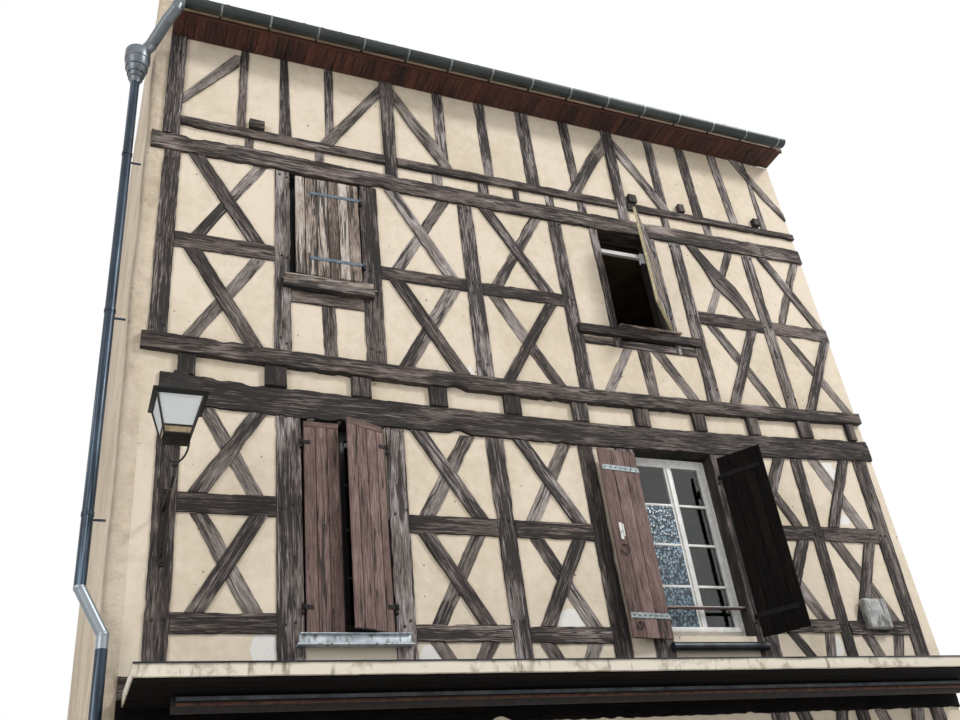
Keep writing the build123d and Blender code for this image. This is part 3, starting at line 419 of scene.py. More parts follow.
# blue-black pipe with pale runs, its elbows grey
pipeZinc = makeCoated("zincPipeDark", "#324150", "#1f2934", 0.35, metallic=0.5, scale=3,
                      run=("#71828f", 0.015, 1.2, 0.2), bands=(("#6d7377", 9.52, 10.3), ("#8f979c", 3.62, 4.06)))
# bright bluish sheet, stained where it drips
sillZinc = makeCoated("zincSillSheet", "#dbe4ea", "#a7b1b8", 0.45, metallic=0.35, scale=9,
                      run=("#7d7468", 0.03, 0.1, 0.25))
# dark rolled sheet with a soft shine
sillDark = makeCoated("zincSillDark", "#3f4348", "#23262a", 0.35, metallic=0.6, scale=8)
# black iron, slightly glossy
iron = makeCoated("wroughtIronBlack", "#2a2725", "#141211", 0.5, metallic=0.5, scale=30)
# iron lost in the shade of its leaf
shadedIron = makeCoated("wroughtIronShaded", "#171413", "#0d0b0a", 0.7, scale=30, Specular_IOR_Level=0.15)
# brown rust, matt
rustIron = makeCoated("ironRusted", "#6d4634", "#33241d", 0.8, metallic=0.2, scale=14)
# pale chipped paint on straps and nails
strapPaint = makeCoated("strapIronPainted", "#a9b0b0", "#6b7577", 0.5, metallic=0.3, scale=35)
# blue-grey paint on the long straps
strapBlue = makeCoated("strapIronBlueGrey", "#74848f", "#4c5860", 0.5, metallic=0.4, scale=35)
# clean white, painted dark as shade on the front's left side, behind the closed leaves
windowPaint = makeCoated("windowPaintWhite", "#ecebe7", "#d2d0c9", 0.42, scale=14, shaded=("#1d1a18", -1.4, -3.5))
# frame in the open window painted dark as painted shade, with a bright band on the transom as painted light where the
# sun reaches it
openFrameShadeAndHighlight = makeCoated("windowPaintInShade", "#221e1b", "#151210", 0.6, scale=14, bands=(("#dfdfdb", 8.1, 8.24),))
# even brown varnish
doorPlain = makeCoated("doorVarnishPlain", "#5a3f2b", "#422c1d", 0.45, scale=6)
# cream on board edges, a painted highlight where the light catches them
edgeHighlightCream = makeCoated("boardEdgePaintedHighlight", "#d9cfa9", "#a89a74", 0.6, scale=20)
# off-white rendered edge under moss stains
canopyEdge = makeCoated("canopyRenderMossy", "#ded5c4", "#a89d88", 0.9, scale=7, bump=0.004, spread=(0.3, 0.46),
                        run=("#6b624f", 0.09, 0.3, 0.12))
# boards under the canopy, painted nearly black as painted shade, without shine
canopyShadePainted = makeOak("canopyBoardsPaintedShade", "#050404", "#0b0908", "#120f0d", "#1b1614", seed=41.0, checks=0.2,
                     gloss=0.12)
# cloth painted dark as painted shade under the canopy
awningCloth = makeCoated("awningClothRolled", "#2b2523", "#171413", 0.8, scale=18)
# orange-brown clay, each tile its own shade, with moss runs
tileClay = makeCoated("clayTileFired", "#a26e56", "#765142", 0.85, scale=3.5, bump=0.002, toned=0.35,
                      run=("#575648", 0.3, 0.3, 0.3))
# light grey enamel with dirty runs
boxEnamel = makeCoated("boxEnamelGrey", "#c6c6c3", "#7d7e7c", 0.5, metallic=0.1, scale=8,
                       run=("#565650", 0.03, 0.12, 0.4))
# clear panes that show the dark rooms
glass = makeGlass("windowGlassClear", "#dfe6e6", 0.03, 1.0)
# bubbled panes over a bump that breaks the light; their blue tint is a painted sky reflection and their blue-grey
# specks a painted pattern of broken light
figuredGlassSkyTint = makeGlass("windowGlassFigured", "#92b2c4", 0.25, 0.25, waves=0.004, scale=38)
# milky lantern panes
milkGlass = makeGlass("lanternGlassFrosted", "#dfe3e2", 0.45, 0.3)
# tarnished yellow metal
brass = makeCoated("lampHolderBrass", "#b9a98a", "#7d6a4d", 0.4, metallic=0.6, scale=30)
print("materials made")


def islandsOf(bm):
    # faces that hang together, one set a timber
    left = set(bm.faces)
    groups = []
    while left:
        stack = [left.pop()]
        group = set(stack)
        while stack:
            for edge in stack.pop().edges:
                for face in edge.link_faces:
                    if face not in group:
                        group.add(face)
                        left.discard(face)
                        stack.append(face)
        groups.append(group)
    return groups


def hewTimber(part, out, style, seed):
    # turns a plain prism into a hewn timber: cut into rings along its grain, edges waned, faces waved
    corners = [v.co.copy() for v in part.verts]
    faceY = min(c.y for c in corners) if out < 0 else max(c.y for c in corners)
    longest = max(part.edges, key=lambda e: (e.calc_length() if abs(e.verts[0].co.y - e.verts[1].co.y) < 1e-4 else 0))
    along = (longest.verts[1].co - longest.verts[0].co).normalized()
    if style["level"]:
        along = Vector((1, 0, 0))
    across = Vector((0, 1, 0)).cross(along).normalized()
    middle = sum(corners, Vector()) / len(corners)
    front = [e for e in part.edges if all(abs(v.co.y - faceY) < 1e-4 for v in e.verts)]
    roundEdges(part, front, style["edge"], clamp=True)
    for normal, spacing in ((along, style["step"]), (across, style["lane"])):
        reaches = [(c - middle).dot(normal) for c in corners]
        low, high = min(reaches), max(reaches)
        count = max(1, round((high - low) / spacing))
        for index in range(1, count):
            cutAt(part, middle + normal * (low + (high - low) * index / count), normal, 1e-5)
    half, centre = (high - low) / 2, (high + low) / 2
    grain = part.verts.layers.float_vector.get("grain") or part.verts.layers.float_vector.new("grain")
    toneLayer = part.verts.layers.float.get("tone") or part.verts.layers.float.new("tone")
    # tone shifts with height: lower timbers browner and darker, upper ones lighter
    tone = random.Random(seed * 7).uniform(-1, 1) * style["tones"]
    tone += max(-0.035, min(0.035, (middle.z - 7.0) * 0.02))
    for vert in part.verts:
        offset = vert.co - middle
        u = offset.dot(along)
        w = offset.dot(across) - centre
        d = vert.co.y - faceY
        vert[grain] = (u + seed * 3.7, w + seed * 1.3, d + seed * 2.1)
        share = w / half if half else 0
        side = 1 if w > 0 else -1
        worn = 0.09 * wobble((u, side * 4, seed), 0.4, 6.0)
        # sides behind the waned front edge are toned 0.16 darker, as painted shade
        vert[toneLayer] = tone + worn - (0.16 if abs(d) > style["edge"] * 0.6 else 0)
        wave = wobble((u, side * 2, seed), 0.45, 1.0) * style["wave"]
        ragged = wobble((u, side * 3, seed), 0.07, 2.0) * style["ragged"]
        bite = max(0.0, wobble((u, side * 5, seed), 0.13, 3.0) - 0.25) * style["bite"]
        move = (side * (wave + ragged) - side * bite) * abs(share) ** 2
        if abs(d) < style["edge"] * 1.1:
            dent = wobble((u, w * 3, seed), 0.12, 4.0) * style["dent"]
            dent += max(0.0, wobble((u, w * 2, seed), 0.3, 5.0) - 0.25) * style["hollow"]
            vert.co.y -= out * dent
        vert.co += across * move


# how each kind of timber is hewn: waned edge, ring and lane spacing, depth of waves, ragged edges, bites,
# dents and hollows, spread of tones, and whether the grain lies level
styleKeys = ("edge", "step", "lane", "wave", "ragged", "bite", "dent", "hollow", "tones", "level")
timberStyles = {name: dict(zip(styleKeys, row)) for name, row in {
    "post": (0.006, 0.04, 0.06, 0.005, 0.004, 0.022, 0.003, 0.008, 0.09, False),
    "rail": (0.006, 0.04, 0.05, 0.005, 0.005, 0.03, 0.004, 0.014, 0.07, False),
    "brace": (0.005, 0.04, 0.06, 0.005, 0.003, 0.02, 0.002, 0.008, 0.09, False),
    "beam": (0.01, 0.035, 0.04, 0.006, 0.009, 0.08, 0.007, 0.03, 0.03, True),
    "flush": (0.003, 0.05, 0.08, 0.006, 0.005, 0.02, 0.0008, 0.0, 0.08, False),
    "rear": (0.005, 0.25, 0.5, 0.004, 0.0, 0.0, 0.0, 0.0, 0.08, False),
}.items()}


def timbersFrom(nodeName, material, style):
    # hewn timbers in place of the plain ones of a CAD node, one hewn island for each
    source = nodeShape(nodeName)
    whole = newShape()
    source.faces.ensure_lookup_table()
    groups = islandsOf(source)
    groups.sort(key=lambda g: tuple(round(x, 3) for x in min(f.calc_center_median()[:] for f in g)))
    indexGroups = [{f.index for f in g} for g in groups]
    for number, keepFaces in enumerate(indexGroups):
        part = source.copy()
        part.faces.ensure_lookup_table()
        bmesh.ops.delete(part, geom=[f for f in part.faces if f.index not in keepFaces], context="FACES")
        rear = sum(v.co.y for v in part.verts) > 0
        hewTimber(part, 1 if rear else -1, timberStyles["rear" if rear else style], number + 1)
        mergeInto(whole, part)
    source.free()
    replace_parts(finishPiece(nodeName + "Hewn", whole, material), nodeName)


timberJobs = [
    ("front_posts", oak, "post"), ("front_rails", oakBrown, "rail"), ("front_braces_through", oak, "brace"),
    ("front_braces_cut", oakPale, "flush"), ("first_floor_top_plate", oakBeam, "beam"),
    ("second_floor_sill_beam", oakBrown, "beam"), ("first_floor_sill_beam", oakBrown, "beam"),
    # the ground plate under the canopy takes the same painted shade
    ("ground_plate", canopyShadePainted, "beam"), ("attic_girt", oakBrown, "beam"), ("attic_rail", oakBrown, "rail"),
    ("attic_studs", oak, "post"), ("attic_braces", oakPale, "brace"), ("joist_ends", oakBeam, "post"),
    ("rear_beams", oakBeam, "rear"), ("rear_posts", oak, "rear"), ("rear_braces_through", oak, "rear"),
    ("rear_braces_cut", oakPale, "rear"),
]
for nodeName, material, style in timberJobs:
    timbersFrom(nodeName, material, style)

# oak pegs at the joints, two to each; levels pairs the distances of the posts with the heights of the joints
pegs = {"radius": 0.013, "taper": 0.8, "sunk": 0.02, "proud": 0.023, "shifts": (-0.035, 0.04), "levels": [
    ((0.62, 1.58, 2.51, 3.47, 4.42, 6.93, 7.78), (3.84, 4.78, 5.62)),
    ((0.48, 1.54, 2.40, 3.47, 4.56, 6.10, 7.14), (6.36, 7.31, 8.30)),
    ((0.47, 2.69, 5.52), (8.90, 9.75)),
]}
bm = newShape()
chance = random.Random(5)
for columns, levels in pegs["levels"]:
    for d in columns:
        for z in levels:
            for shift in pegs["shifts"]:
                x, level = leftX + d + shift + chance.uniform(-0.02, 0.02), z + chance.uniform(-0.03, 0.03)
                addRod(bm, (x, frontY + pegs["sunk"], level), (x, frontY - pegs["proud"], level), pegs["radius"], 8,
                       endRadius=pegs["radius"] * pegs["taper"])
finishPiece("oakPegs", bm, oakBeam)
print("timbers hewn and pegged")


plasterSheet = {"bottom": 0.35, "top": 10.0, "step": 0.055, "wave": 0.0024, "ripple": 0.0015, "back": 0.0025,
                "thickness": 0.17}
# openings are cut a little large, so that the timber beside them forms the reveals
frontOpenings = [
    (-2.325, -1.58, 3.75, 5.605), (0.92, 1.86, 3.75, 5.60), (-2.405, -1.675, 6.93, 8.40), (1.07, 1.78, 6.86, 8.385),
    (-2.44, -1.52, 0.12, 2.45), (-0.53, 1.78, 0.85, 2.45),
]
# made-good patches: distance from the left, height, half width, half height, in metres
freshPatches = [
    (1.39, 3.65, 0.09, 0.11), (2.68, 3.58, 0.08, 0.09), (3.98, 3.88, 0.13, 0.09), (6.73, 3.66, 0.08, 0.09),
    (7.34, 5.50, 0.09, 0.11), (7.33, 4.97, 0.10, 0.05), (3.31, 6.26, 0.05, 0.05), (4.20, 6.18, 0.05, 0.04),
]


def makeSheet():
    s = plasterSheet
    bm = bmesh.new()
    width, height = boundaryX - innerLeft, s["top"] - s["bottom"]
    bmesh.ops.create_grid(bm, x_segments=round(width / s["step"]), y_segments=round(height / s["step"]), size=0.5)
    bmesh.ops.scale(bm, vec=(width, height, 1), verts=bm.verts)
    bmesh.ops.rotate(bm, matrix=Matrix.Rotation(radians(90), 3, "X"), verts=bm.verts)
    bmesh.ops.translate(bm, vec=((innerLeft + boundaryX) / 2, frontY, (s["bottom"] + s["top"]) / 2), verts=bm.verts)
    for left, right, bottom, top in frontOpenings:
        for x in (left, right):
            cutAt(bm, (x, 0, 0), (1, 0, 0))
        for z in (bottom, top):
            cutAt(bm, (0, 0, z), (0, 0, 1))
    inside = []
    for face in bm.faces:
        c = face.calc_center_median()
        if any(l < c.x < r and b < c.z < t for l, r, b, t in frontOpenings):
            inside.append(face)
    bmesh.ops.delete(bm, geom=inside, context="FACES")
    fresh = bm.verts.layers.float.new("fresh")
    for vert in bm.verts:
        amount = 0.0
        for d, z, halfWidth, halfHeight in freshPatches:
            reach = ((vert.co.x - leftX - d) / halfWidth) ** 2 + ((vert.co.z - z) / halfHeight) ** 2
            amount = max(amount, 1.25 - 0.55 * reach)
        vert[fresh] = max(0.0, min(1.0, amount))
        vert.co.y += s["back"] + s["wave"] * wobble(vert.co, 0.35, 1.0) + s["ripple"] * wobble(vert.co, 0.11, 2.0)
    bmesh.ops.recalc_face_normals(bm, faces=bm.faces)
    if sum(f.normal.y for f in bm.faces) > 0:
        bmesh.ops.reverse_faces(bm, faces=bm.faces)
    bmesh.ops.solidify(bm, geom=bm.faces[:], thickness=s["thickness"])
    return bm


sheet = finishPiece("plasterFront", makeSheet(), plaster)
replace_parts(sheet, "front_infill_lower", "front_infill_upper")

# left party wall: the CAD wall with a rounded, uneven corner towards the street
cornerWall = {"corner": (-3.78, -4.0), "round": 0.045, "height": 11.4, "step": 0.16, "cuts": (-3.85, -3.6, -3.2, -2.6),
              "cutX": -3.69, "edge": (-3.61, -3.1), "wave": 0.034}
bm = nodeShape("left_party_wall")
cornerX, cornerY = cornerWall["corner"]
corner = [e for e in bm.edges if all(abs(v.co.x - cornerX) < 1e-3 and abs(v.co.y - cornerY) < 1e-3 for v in e.verts)]
roundEdges(bm, corner, cornerWall["round"], 4)
for count in range(1, int(cornerWall["height"] / cornerWall["step"])):
    cutAt(bm, (0, 0, count * cornerWall["step"]), (0, 0, 1))
for y in cornerWall["cuts"]:
    cutAt(bm, (0, y, 0), (0, 1, 0))
cutAt(bm, (cornerWall["cutX"], 0, 0), (1, 0, 0))
edgeX, edgeY = cornerWall["edge"]
for vert in bm.verts:
    c = vert.co
    if c.x < edgeX and c.y < edgeY:
        inner = min(1.0, (edgeX - c.x) / 0.1) * min(1.0, (edgeY - c.y) / 0.4)
        vert.co.x += (0.6 * cornerWall["wave"] + cornerWall["wave"] * wobble((0, 0, c.z), 0.9, 3.0)) * inner
        if c.y < -3.9 and c.x > -3.77:
            vert.co.y += 0.002 + 0.003 * wobble(c, 0.2, 5.0)
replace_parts(finishPiece("leftWallRendered", bm, render), "left_party_wall")
print("plaster laid")


# shutters: the boards stand upright, their joints given as shares of the width from the hinge; place is the
# hinged edge's facade distance, towards the side that the leaf reaches to, open its angle in the photograph,
# outer and inner the lengths of the straps, and cap the height of a cross board at the head
hingeLine = -4.046
leafKeys = ("place", "towards", "width", "bottom", "top", "open", "joints", "tones", "wood", "strap", "outer",
            "inner", "cap")
leafSpecs = {name: dict(zip(leafKeys, row)) for name, row in {
    "shutter_first_left_a": (1.690, 1, 0.301, 3.757, 5.562, 0, (0.33, 0.66), (0.0, 0.03, -0.02), shutterRed, iron,
                             0.05, 0.0, 0.052),
    "shutter_first_left_b": (2.405, -1, 0.378, 3.757, 5.562, 21, (0.2, 0.48, 0.76), (0.04, 0.07, 0.02, 0.06),
                             shutterRed, iron, 0.05, 0.0, 0.062),
    "shutter_first_right_a": (4.935, 1, 0.435, 3.695, 5.500, 175, (0.34, 0.67), (0.0, 0.05, -0.04), shutterRed,
                              strapPaint, 0.08, 0.42, 0.0),
    "shutter_first_right_b": (5.840, -1, 0.445, 3.712, 5.508, 126, (0.25, 0.52, 0.76), (0.0, -0.03, 0.02, -0.02),
                              shutterShadePainted, shadedIron, 0.08, 0.40, 0.0),
    "shutter_second_left": (2.305, -1, 0.640, 7.120, 8.330, 0, (0.177, 0.333, 0.494, 0.673, 0.853),
                            (-0.05, 0.12, -0.14, 0.03, -0.03, 0.08), shutterGrey, strapBlue, 0.5, 0.0, 0.0),
    "shutter_second_right": (5.760, -1, 0.632, 7.060, 8.330, 45, (0.2, 0.38, 0.6, 0.8),
                             (0.0, -0.05, 0.04, -0.02, 0.03), shutterGrey, strapBlue, 0.5, 0.0, 0.0),
}.items()}
leafParts = {"pin": 0.015, "faceGap": 0.012, "thick": 0.028, "edgeGap": 0.024, "gap": 0.006, "uneven": 0.003,
             "strapInset": 0.2, "strapHigh": 0.042, "strapThick": 0.006, "eye": 0.013, "bore": 0.007,
             "rivet": 0.006, "nail": 0.0045, "nailRows": (0.05, 0.31, 0.5, 0.72, 0.93)}


def makeLeaf(name, spec, number):
    p, side, width, bottom, top = leafParts, spec["towards"], spec["width"], spec["bottom"], spec["top"]
    axisX = leftX + spec["place"] - side * p["pin"]
    hinge = Vector((axisX, hingeLine, 0))
    # from closed to its place in the photograph
    turn = Matrix.Translation(hinge) @ Matrix.Rotation(radians(-spec["open"] * side), 4, "Z")
    turn = turn @ Matrix.Translation(-hinge)
    near = axisX + side * p["edgeGap"]
    outside = hingeLine + p["faceGap"]
    inside = outside + p["thick"]
    shares = (0,) + spec["joints"] + (1,)
    chance = random.Random(number)

    def across(start, end):
        # two places counted from the hinged edge, in the order of x
        return sorted((near + side * start, near + side * end))

    bm = newShape()
    for index, tone in enumerate(spec["tones"]):
        left, right = across(width * shares[index], width * shares[index + 1])
        low, high = bottom + chance.uniform(0, 0.006), top - chance.uniform(0, 0.006) - spec["cap"]
        addBox(bm, (left + p["gap"] / 2, outside + chance.uniform(0, p["uneven"]), low),
               (right - p["gap"] / 2, inside - chance.uniform(0, p["uneven"]), high), bevel=0.004, axis=2,
               seed=number * 3.1 + index * 0.77, tone=tone, turn=turn)
    if spec["cap"]:
        left, right = across(0, width)
        addBox(bm, (left + 0.001, outside, top - spec["cap"] - 0.003), (right - 0.001, inside - 0.001, top - 0.001),
               bevel=0.004, seed=number * 5.3, tone=-0.02, turn=turn)
    # a thin tongue behind the joints keeps daylight out; its tone of -0.3 paints it darker, as painted shade in the
    # joints
    left, right = across(0.004, width - 0.004)
    addBox(bm, (left, outside + 0.010, bottom + 0.004), (right, outside + 0.018, top - 0.004), axis=2, seed=number,
           tone=-0.3, turn=turn)
    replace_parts(finishPiece(name + "Boards", bm, spec["wood"], body=name), name)

    bm = newShape()
    for level in (bottom + p["strapInset"], top - p["strapInset"]):
        low, high = level - p["strapHigh"] / 2, level + p["strapHigh"] / 2
        left, right = sorted((axisX + side * 0.010, axisX + side * (0.03 + spec["outer"])))
        addBox(bm, (left, outside - p["strapThick"], low + 0.004), (right, outside, high - 0.004), bevel=0.0015,
               turn=turn)
        eye = ((axisX + (p["eye"] + p["bore"]) / 2, hingeLine, level), p["eye"] - p["bore"], p["strapHigh"], 90, "X")
        addArc(bm, eye, (axisX, hingeLine, level), (0, 0, 1), 360, 18, turn)
        count = max(2, round(spec["outer"] / 0.09))
        for index in range(count):
            along = 0.045 + (spec["outer"] - 0.03) * index / (count - 1) if spec["outer"] > 0.1 \
                else 0.04 + 0.02 * index
            addBall(bm, (axisX + side * along, outside - p["strapThick"], level), p["rivet"], turn=turn)
        if spec["inner"]:
            # the long strap on the room side
            left, right = across(0.006, spec["inner"])
            addBox(bm, (left, inside, low - 0.004), (right, inside + 0.005, high + 0.004), bevel=0.0015, turn=turn)
    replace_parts(finishPiece(name + "Hinges", bm, spec["strap"], body=name), name + "_straps")
    if spec["cap"]:
        # worn nail heads in rows
        bm = newShape()
        chance = random.Random(number + 50)
        for share in p["nailRows"]:
            for first, last in zip(shares, shares[1:]):
                x = near + side * width * (first + (last - first) * chance.uniform(0.35, 0.65))
                level = bottom + (top - bottom) * (share + chance.uniform(-0.012, 0.012))
                addBall(bm, (x, outside + 0.001, level), p["nail"], turn=turn)
        finishPiece(name + "Nails", bm, strapPaint, body=name)
    return near, outside, turn


leafPlaces = {name: makeLeaf(name, spec, number + 3) for number, (name, spec) in enumerate(leafSpecs.items())}

# holes, latch and rings on the room side of the open left leaf, along from its hinged edge
openLeaf = "shutter_first_right_a"
near, outside, turn = leafPlaces[openLeaf]
spec = leafSpecs[openLeaf]
inside = outside + leafParts["thick"]
holes = {"first": 0.04, "spacing": 0.058, "count": 7, "radius": 0.0085}
bm = newShape()
for level in (spec["bottom"] + leafParts["strapInset"], spec["top"] - leafParts["strapInset"]):
    for index in range(holes["count"]):
        x = near + holes["first"] + index * holes["spacing"]
        addRod(bm, (x, inside + 0.003, level), (x, inside + 0.0062, level), holes["radius"], 10, turn=turn)
finishPiece("strapHoles", bm, iron, body=openLeaf)
latch = {"along": 0.345, "level": 4.66, "half": 0.016, "below": 0.075, "above": 0.085, "out": 0.036}
x, level, out = near + latch["along"], latch["level"], inside + latch["out"]
bm = newShape()
addBox(bm, (x - latch["half"], inside, level - latch["below"]),
       (x + latch["half"], inside + 0.005, level + latch["above"]), bevel=0.002, turn=turn)
addRod(bm, (x, inside + 0.004, level), (x, inside + 0.04, level), 0.008, turn=turn)
addRod(bm, (x, out, level + 0.055), (x, out, level - 0.06), 0.009, endRadius=0.007, turn=turn)
finishPiece("shutterLatch", bm, windowPaint, body=openLeaf)
bm = newShape()
for ringZ, radius in ((level - 0.17, 0.045), (spec["bottom"] + 0.11, 0.03)):
    y = inside + 0.012
    addArc(bm, ((x + radius, y, ringZ), 0.008, 0.008, 0, "X"), (x, y, ringZ), (0, 1, 0), 300, 16, turn=turn)
    addRod(bm, (x, inside, ringZ + radius), (x, inside + 0.018, ringZ + radius), 0.006, 8, turn=turn)
finishPiece("shutterRings", bm, iron, body=openLeaf)
# pale cream strips on the free edge and foot of the leaf that stands open on the second floor: a painted highlight of
# its lit edge
near, outside, turn = leafPlaces["shutter_second_right"]
spec = leafSpecs["shutter_second_right"]
far, front, back = near - spec["width"], outside + 0.001, outside + 0.027
bm = newShape()
addBox(bm, (far - 0.003, front, spec["bottom"]), (far + 0.006, back, spec["top"]), axis=2, turn=turn)
addBox(bm, (far, front, spec["bottom"] - 0.002), (near, back, spec["bottom"] + 0.006), turn=turn)
finishPiece("leafEdgeHighlight", bm, edgeHighlightCream, body="shutter_second_right")
print("shutters hung")


# roof tiles: hollow clay tiles laid in channels and covers, the same pattern on both slopes
tiling = {"pitch": 0.2, "course": 0.34, "length": 0.43, "low": 0.074, "high": 0.062, "thick": 0.012,
          "eave": (4.385, 10.0866), "ridge": 11.513, "coverLift": 0.018, "channelLift": 0.077, "bed": 0.012,
          "ridgePitch": 0.38, "ridgeEnds": 0.22, "ridgeLift": 0.075}


def halfTube(length, low, high, thick, cover):
    # tapered half tube of clay along y, open downwards for a cover and upwards for a channel
    part = newShape()
    bmesh.ops.create_cone(part, cap_ends=False, segments=12, radius1=low, radius2=high, depth=length)
    bmesh.ops.rotate(part, matrix=Matrix.Rotation(radians(-90), 3, "X"), verts=part.verts)
    cutAt(part, (0, 0, 0), (0, 0, -1 if cover else 1), 1e-5, clear=True)
    bmesh.ops.recalc_face_normals(part, faces=part.faces)
    if sum(f.normal.z for f in part.faces) * (1 if cover else -1) < 0:
        bmesh.ops.reverse_faces(part, faces=part.faces)
    bmesh.ops.solidify(part, geom=part.faces[:], thickness=thick)
    return part


def layTiles(side, nodeName):
    t = tiling
    reach, low = t["eave"]
    tilt = atan2(t["ridge"] - low, reach)
    width = boundaryX - innerLeft
    courses = round(reach / cos(tilt) / t["course"])
    step = (reach - 0.1) / cos(tilt) / courses
    lean = Matrix.Rotation(tilt - radians(1.1), 4, "X")
    half = Matrix.Rotation(pi, 4, "Z") if side > 0 else Matrix.Identity(4)
    chance = random.Random(11 + side)
    bm = newShape()
    covers = halfTube(t["length"], t["low"], t["high"], t["thick"], True)
    channels = halfTube(t["length"], t["high"], t["low"], t["thick"], False)
    for course in range(courses):
        along = t["length"] / 2 + 0.015 + step * course
        y, z = -reach + along * cos(tilt), low + along * sin(tilt)
        for column in range(round(width / t["pitch"])):
            for source, shift, lift in ((covers, 0.5, t["coverLift"]), (channels, 1.0, t["channelLift"])):
                x = innerLeft + t["pitch"] * (column + shift)
                if x > boundaryX - 0.08 or x < innerLeft + 0.07:
                    continue
                part = source.copy()
                turn = Matrix.Rotation(radians(chance.uniform(-1.3, 1.3)), 4, "Z")
                middle = Vector((-side * x if side > 0 else x, y + chance.uniform(-0.008, 0.008), z + lift))
                setTone(part, chance.uniform(-1, 1))
                mergeInto(bm, part, half @ Matrix.Translation(middle) @ lean @ turn)
    covers.free()
    channels.free()
    # bedding under the tiles, which closes the roof
    part = newShape()
    bmesh.ops.create_cube(part, size=1)
    for vert in part.verts:
        outer, upper = vert.co.y < 0, vert.co.z > 0
        vert.co = (innerLeft if vert.co.x < 0 else boundaryX, side * (reach if outer else 0.0),
                   (low if outer else t["ridge"]) + (t["bed"] / cos(tilt) if upper else 0.0))
    bmesh.ops.recalc_face_normals(part, faces=part.faces)
    mergeInto(bm, part)
    if side < 0:
        # ridge tiles, bedded in mortar
        count = round(width / t["ridgePitch"])
        for index in range(count):
            ridge = halfTube(t["length"], 0.115, 0.1, 0.014, True)
            x = innerLeft + t["ridgeEnds"] + (width - 2 * t["ridgeEnds"]) * index / (count - 1)
            setTone(ridge, chance.uniform(-1, 1))
            mergeInto(bm, ridge, Matrix.Translation((x, 0, t["ridge"] + t["ridgeLift"]))
                      @ Matrix.Rotation(radians(90), 4, "Z"))
    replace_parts(finishPiece(nodeName + "Laid", bm, tileClay), nodeName)


layTiles(-1, "roof_tiles_front")
layTiles(1, "roof_tiles_rear")
print("roof tiled")

# soffit of narrow boards laid across the eaves
soffit = {"count": 72, "low": 10.0, "high": 10.022, "back": 4.0, "front": 4.302, "gap": 0.001}
bm = newShape()
chance = random.Random(17)
width = (boundaryX - innerLeft) / soffit["count"]
for side in (-1, 1):
    for index in range(soffit["count"]):
        x = innerLeft + width * index
        near, far = sorted((side * soffit["back"], side * soffit["front"]))
        drop = chance.uniform(0, 0.002)
        addBox(bm, (x + soffit["gap"], near, soffit["low"] + drop), (x + width - soffit["gap"], far, soffit["high"]),
               bevel=0.005, axis=1, seed=index * 0.37, tone=chance.uniform(-0.09, 0.09))
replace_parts(finishPiece("soffitBoards", bm, soffitWoodShadeDarkened), "soffits")

# seam bands and front bead of the two gutters
gutter = {"reach": 4.432, "level": 10.045, "radius": 0.0715, "first": -3.17, "spacing": 0.5, "count": 15,
          "band": (0.019, 0.003), "ends": (-3.53, 3.94), "bead": (0.058, -0.004, 0.008)}
bm = newShape()
for side in (-1, 1):
    y, z = side * gutter["reach"], gutter["level"]
    for index in range(gutter["count"]):
        x = gutter["first"] + index * gutter["spacing"]
        if x <= gutter["ends"][1] - 0.02:
            addArc(bm, ((x, y - gutter["radius"], z), *gutter["band"], 0, "X"), (x, y, z), (1, 0, 0), 180, 14)
    out, drop, radius = gutter["bead"]
    start, end = ((x, side * (gutter["reach"] + out), z + drop) for x in gutter["ends"])
    addRod(bm, start, end, radius, 10)
finishPiece("gutterSeams", bm, seamZinc)

# hopper head, turned, with a rolled bead at each step; steps and beads are shares of height and radius
hopper = {"place": (-3.91, -4.095), "low": 9.085, "height": 0.432, "radius": 0.12, "wall": 0.006,
          "steps": [(0, 0.37), (0.14, 0.5), (0.16, 0.56), (0.27, 0.63), (0.29, 0.69), (0.46, 0.81), (0.48, 0.87),
                    (0.7, 0.95), (0.73, 1.0), (1.0, 1.0)],
          "beads": [(0.15, 0.56), (0.28, 0.69), (0.47, 0.87), (0.715, 0.985), (0.985, 0.985)]}
bm = newShape()
x, y = hopper["place"]
outline = [(reach * hopper["radius"], hopper["low"] + share * hopper["height"]) for share, reach in hopper["steps"]]
inner = [(r - hopper["wall"], z) for r, z in reversed(outline) if z > hopper["low"] + 0.1]
outline += inner + [(0.0, inner[-1][1])]
points = [bm.verts.new((x + r, y, z)) for r, z in [(0.0, hopper["low"])] + outline]
edges = [bm.edges.new(pair) for pair in zip(points, points[1:])]
bmesh.ops.spin(bm, geom=points + edges, cent=(x, y, 0), axis=(0, 0, 1), angle=radians(360), steps=40, use_merge=True)
bmesh.ops.remove_doubles(bm, verts=bm.verts, dist=1e-5)
bmesh.ops.recalc_face_normals(bm, faces=bm.faces)
for share, reach in hopper["beads"]:
    z = hopper["low"] + share * hopper["height"]
    addArc(bm, ((x + reach * hopper["radius"] - 0.003, y, z), 0.008, 0.010, 90, "X"), (x, y, z), (0, 0, 1), 360, 36)
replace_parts(finishPiece("hopperTurned", bm, elbowZinc), "hopper_head")
print("eaves done")

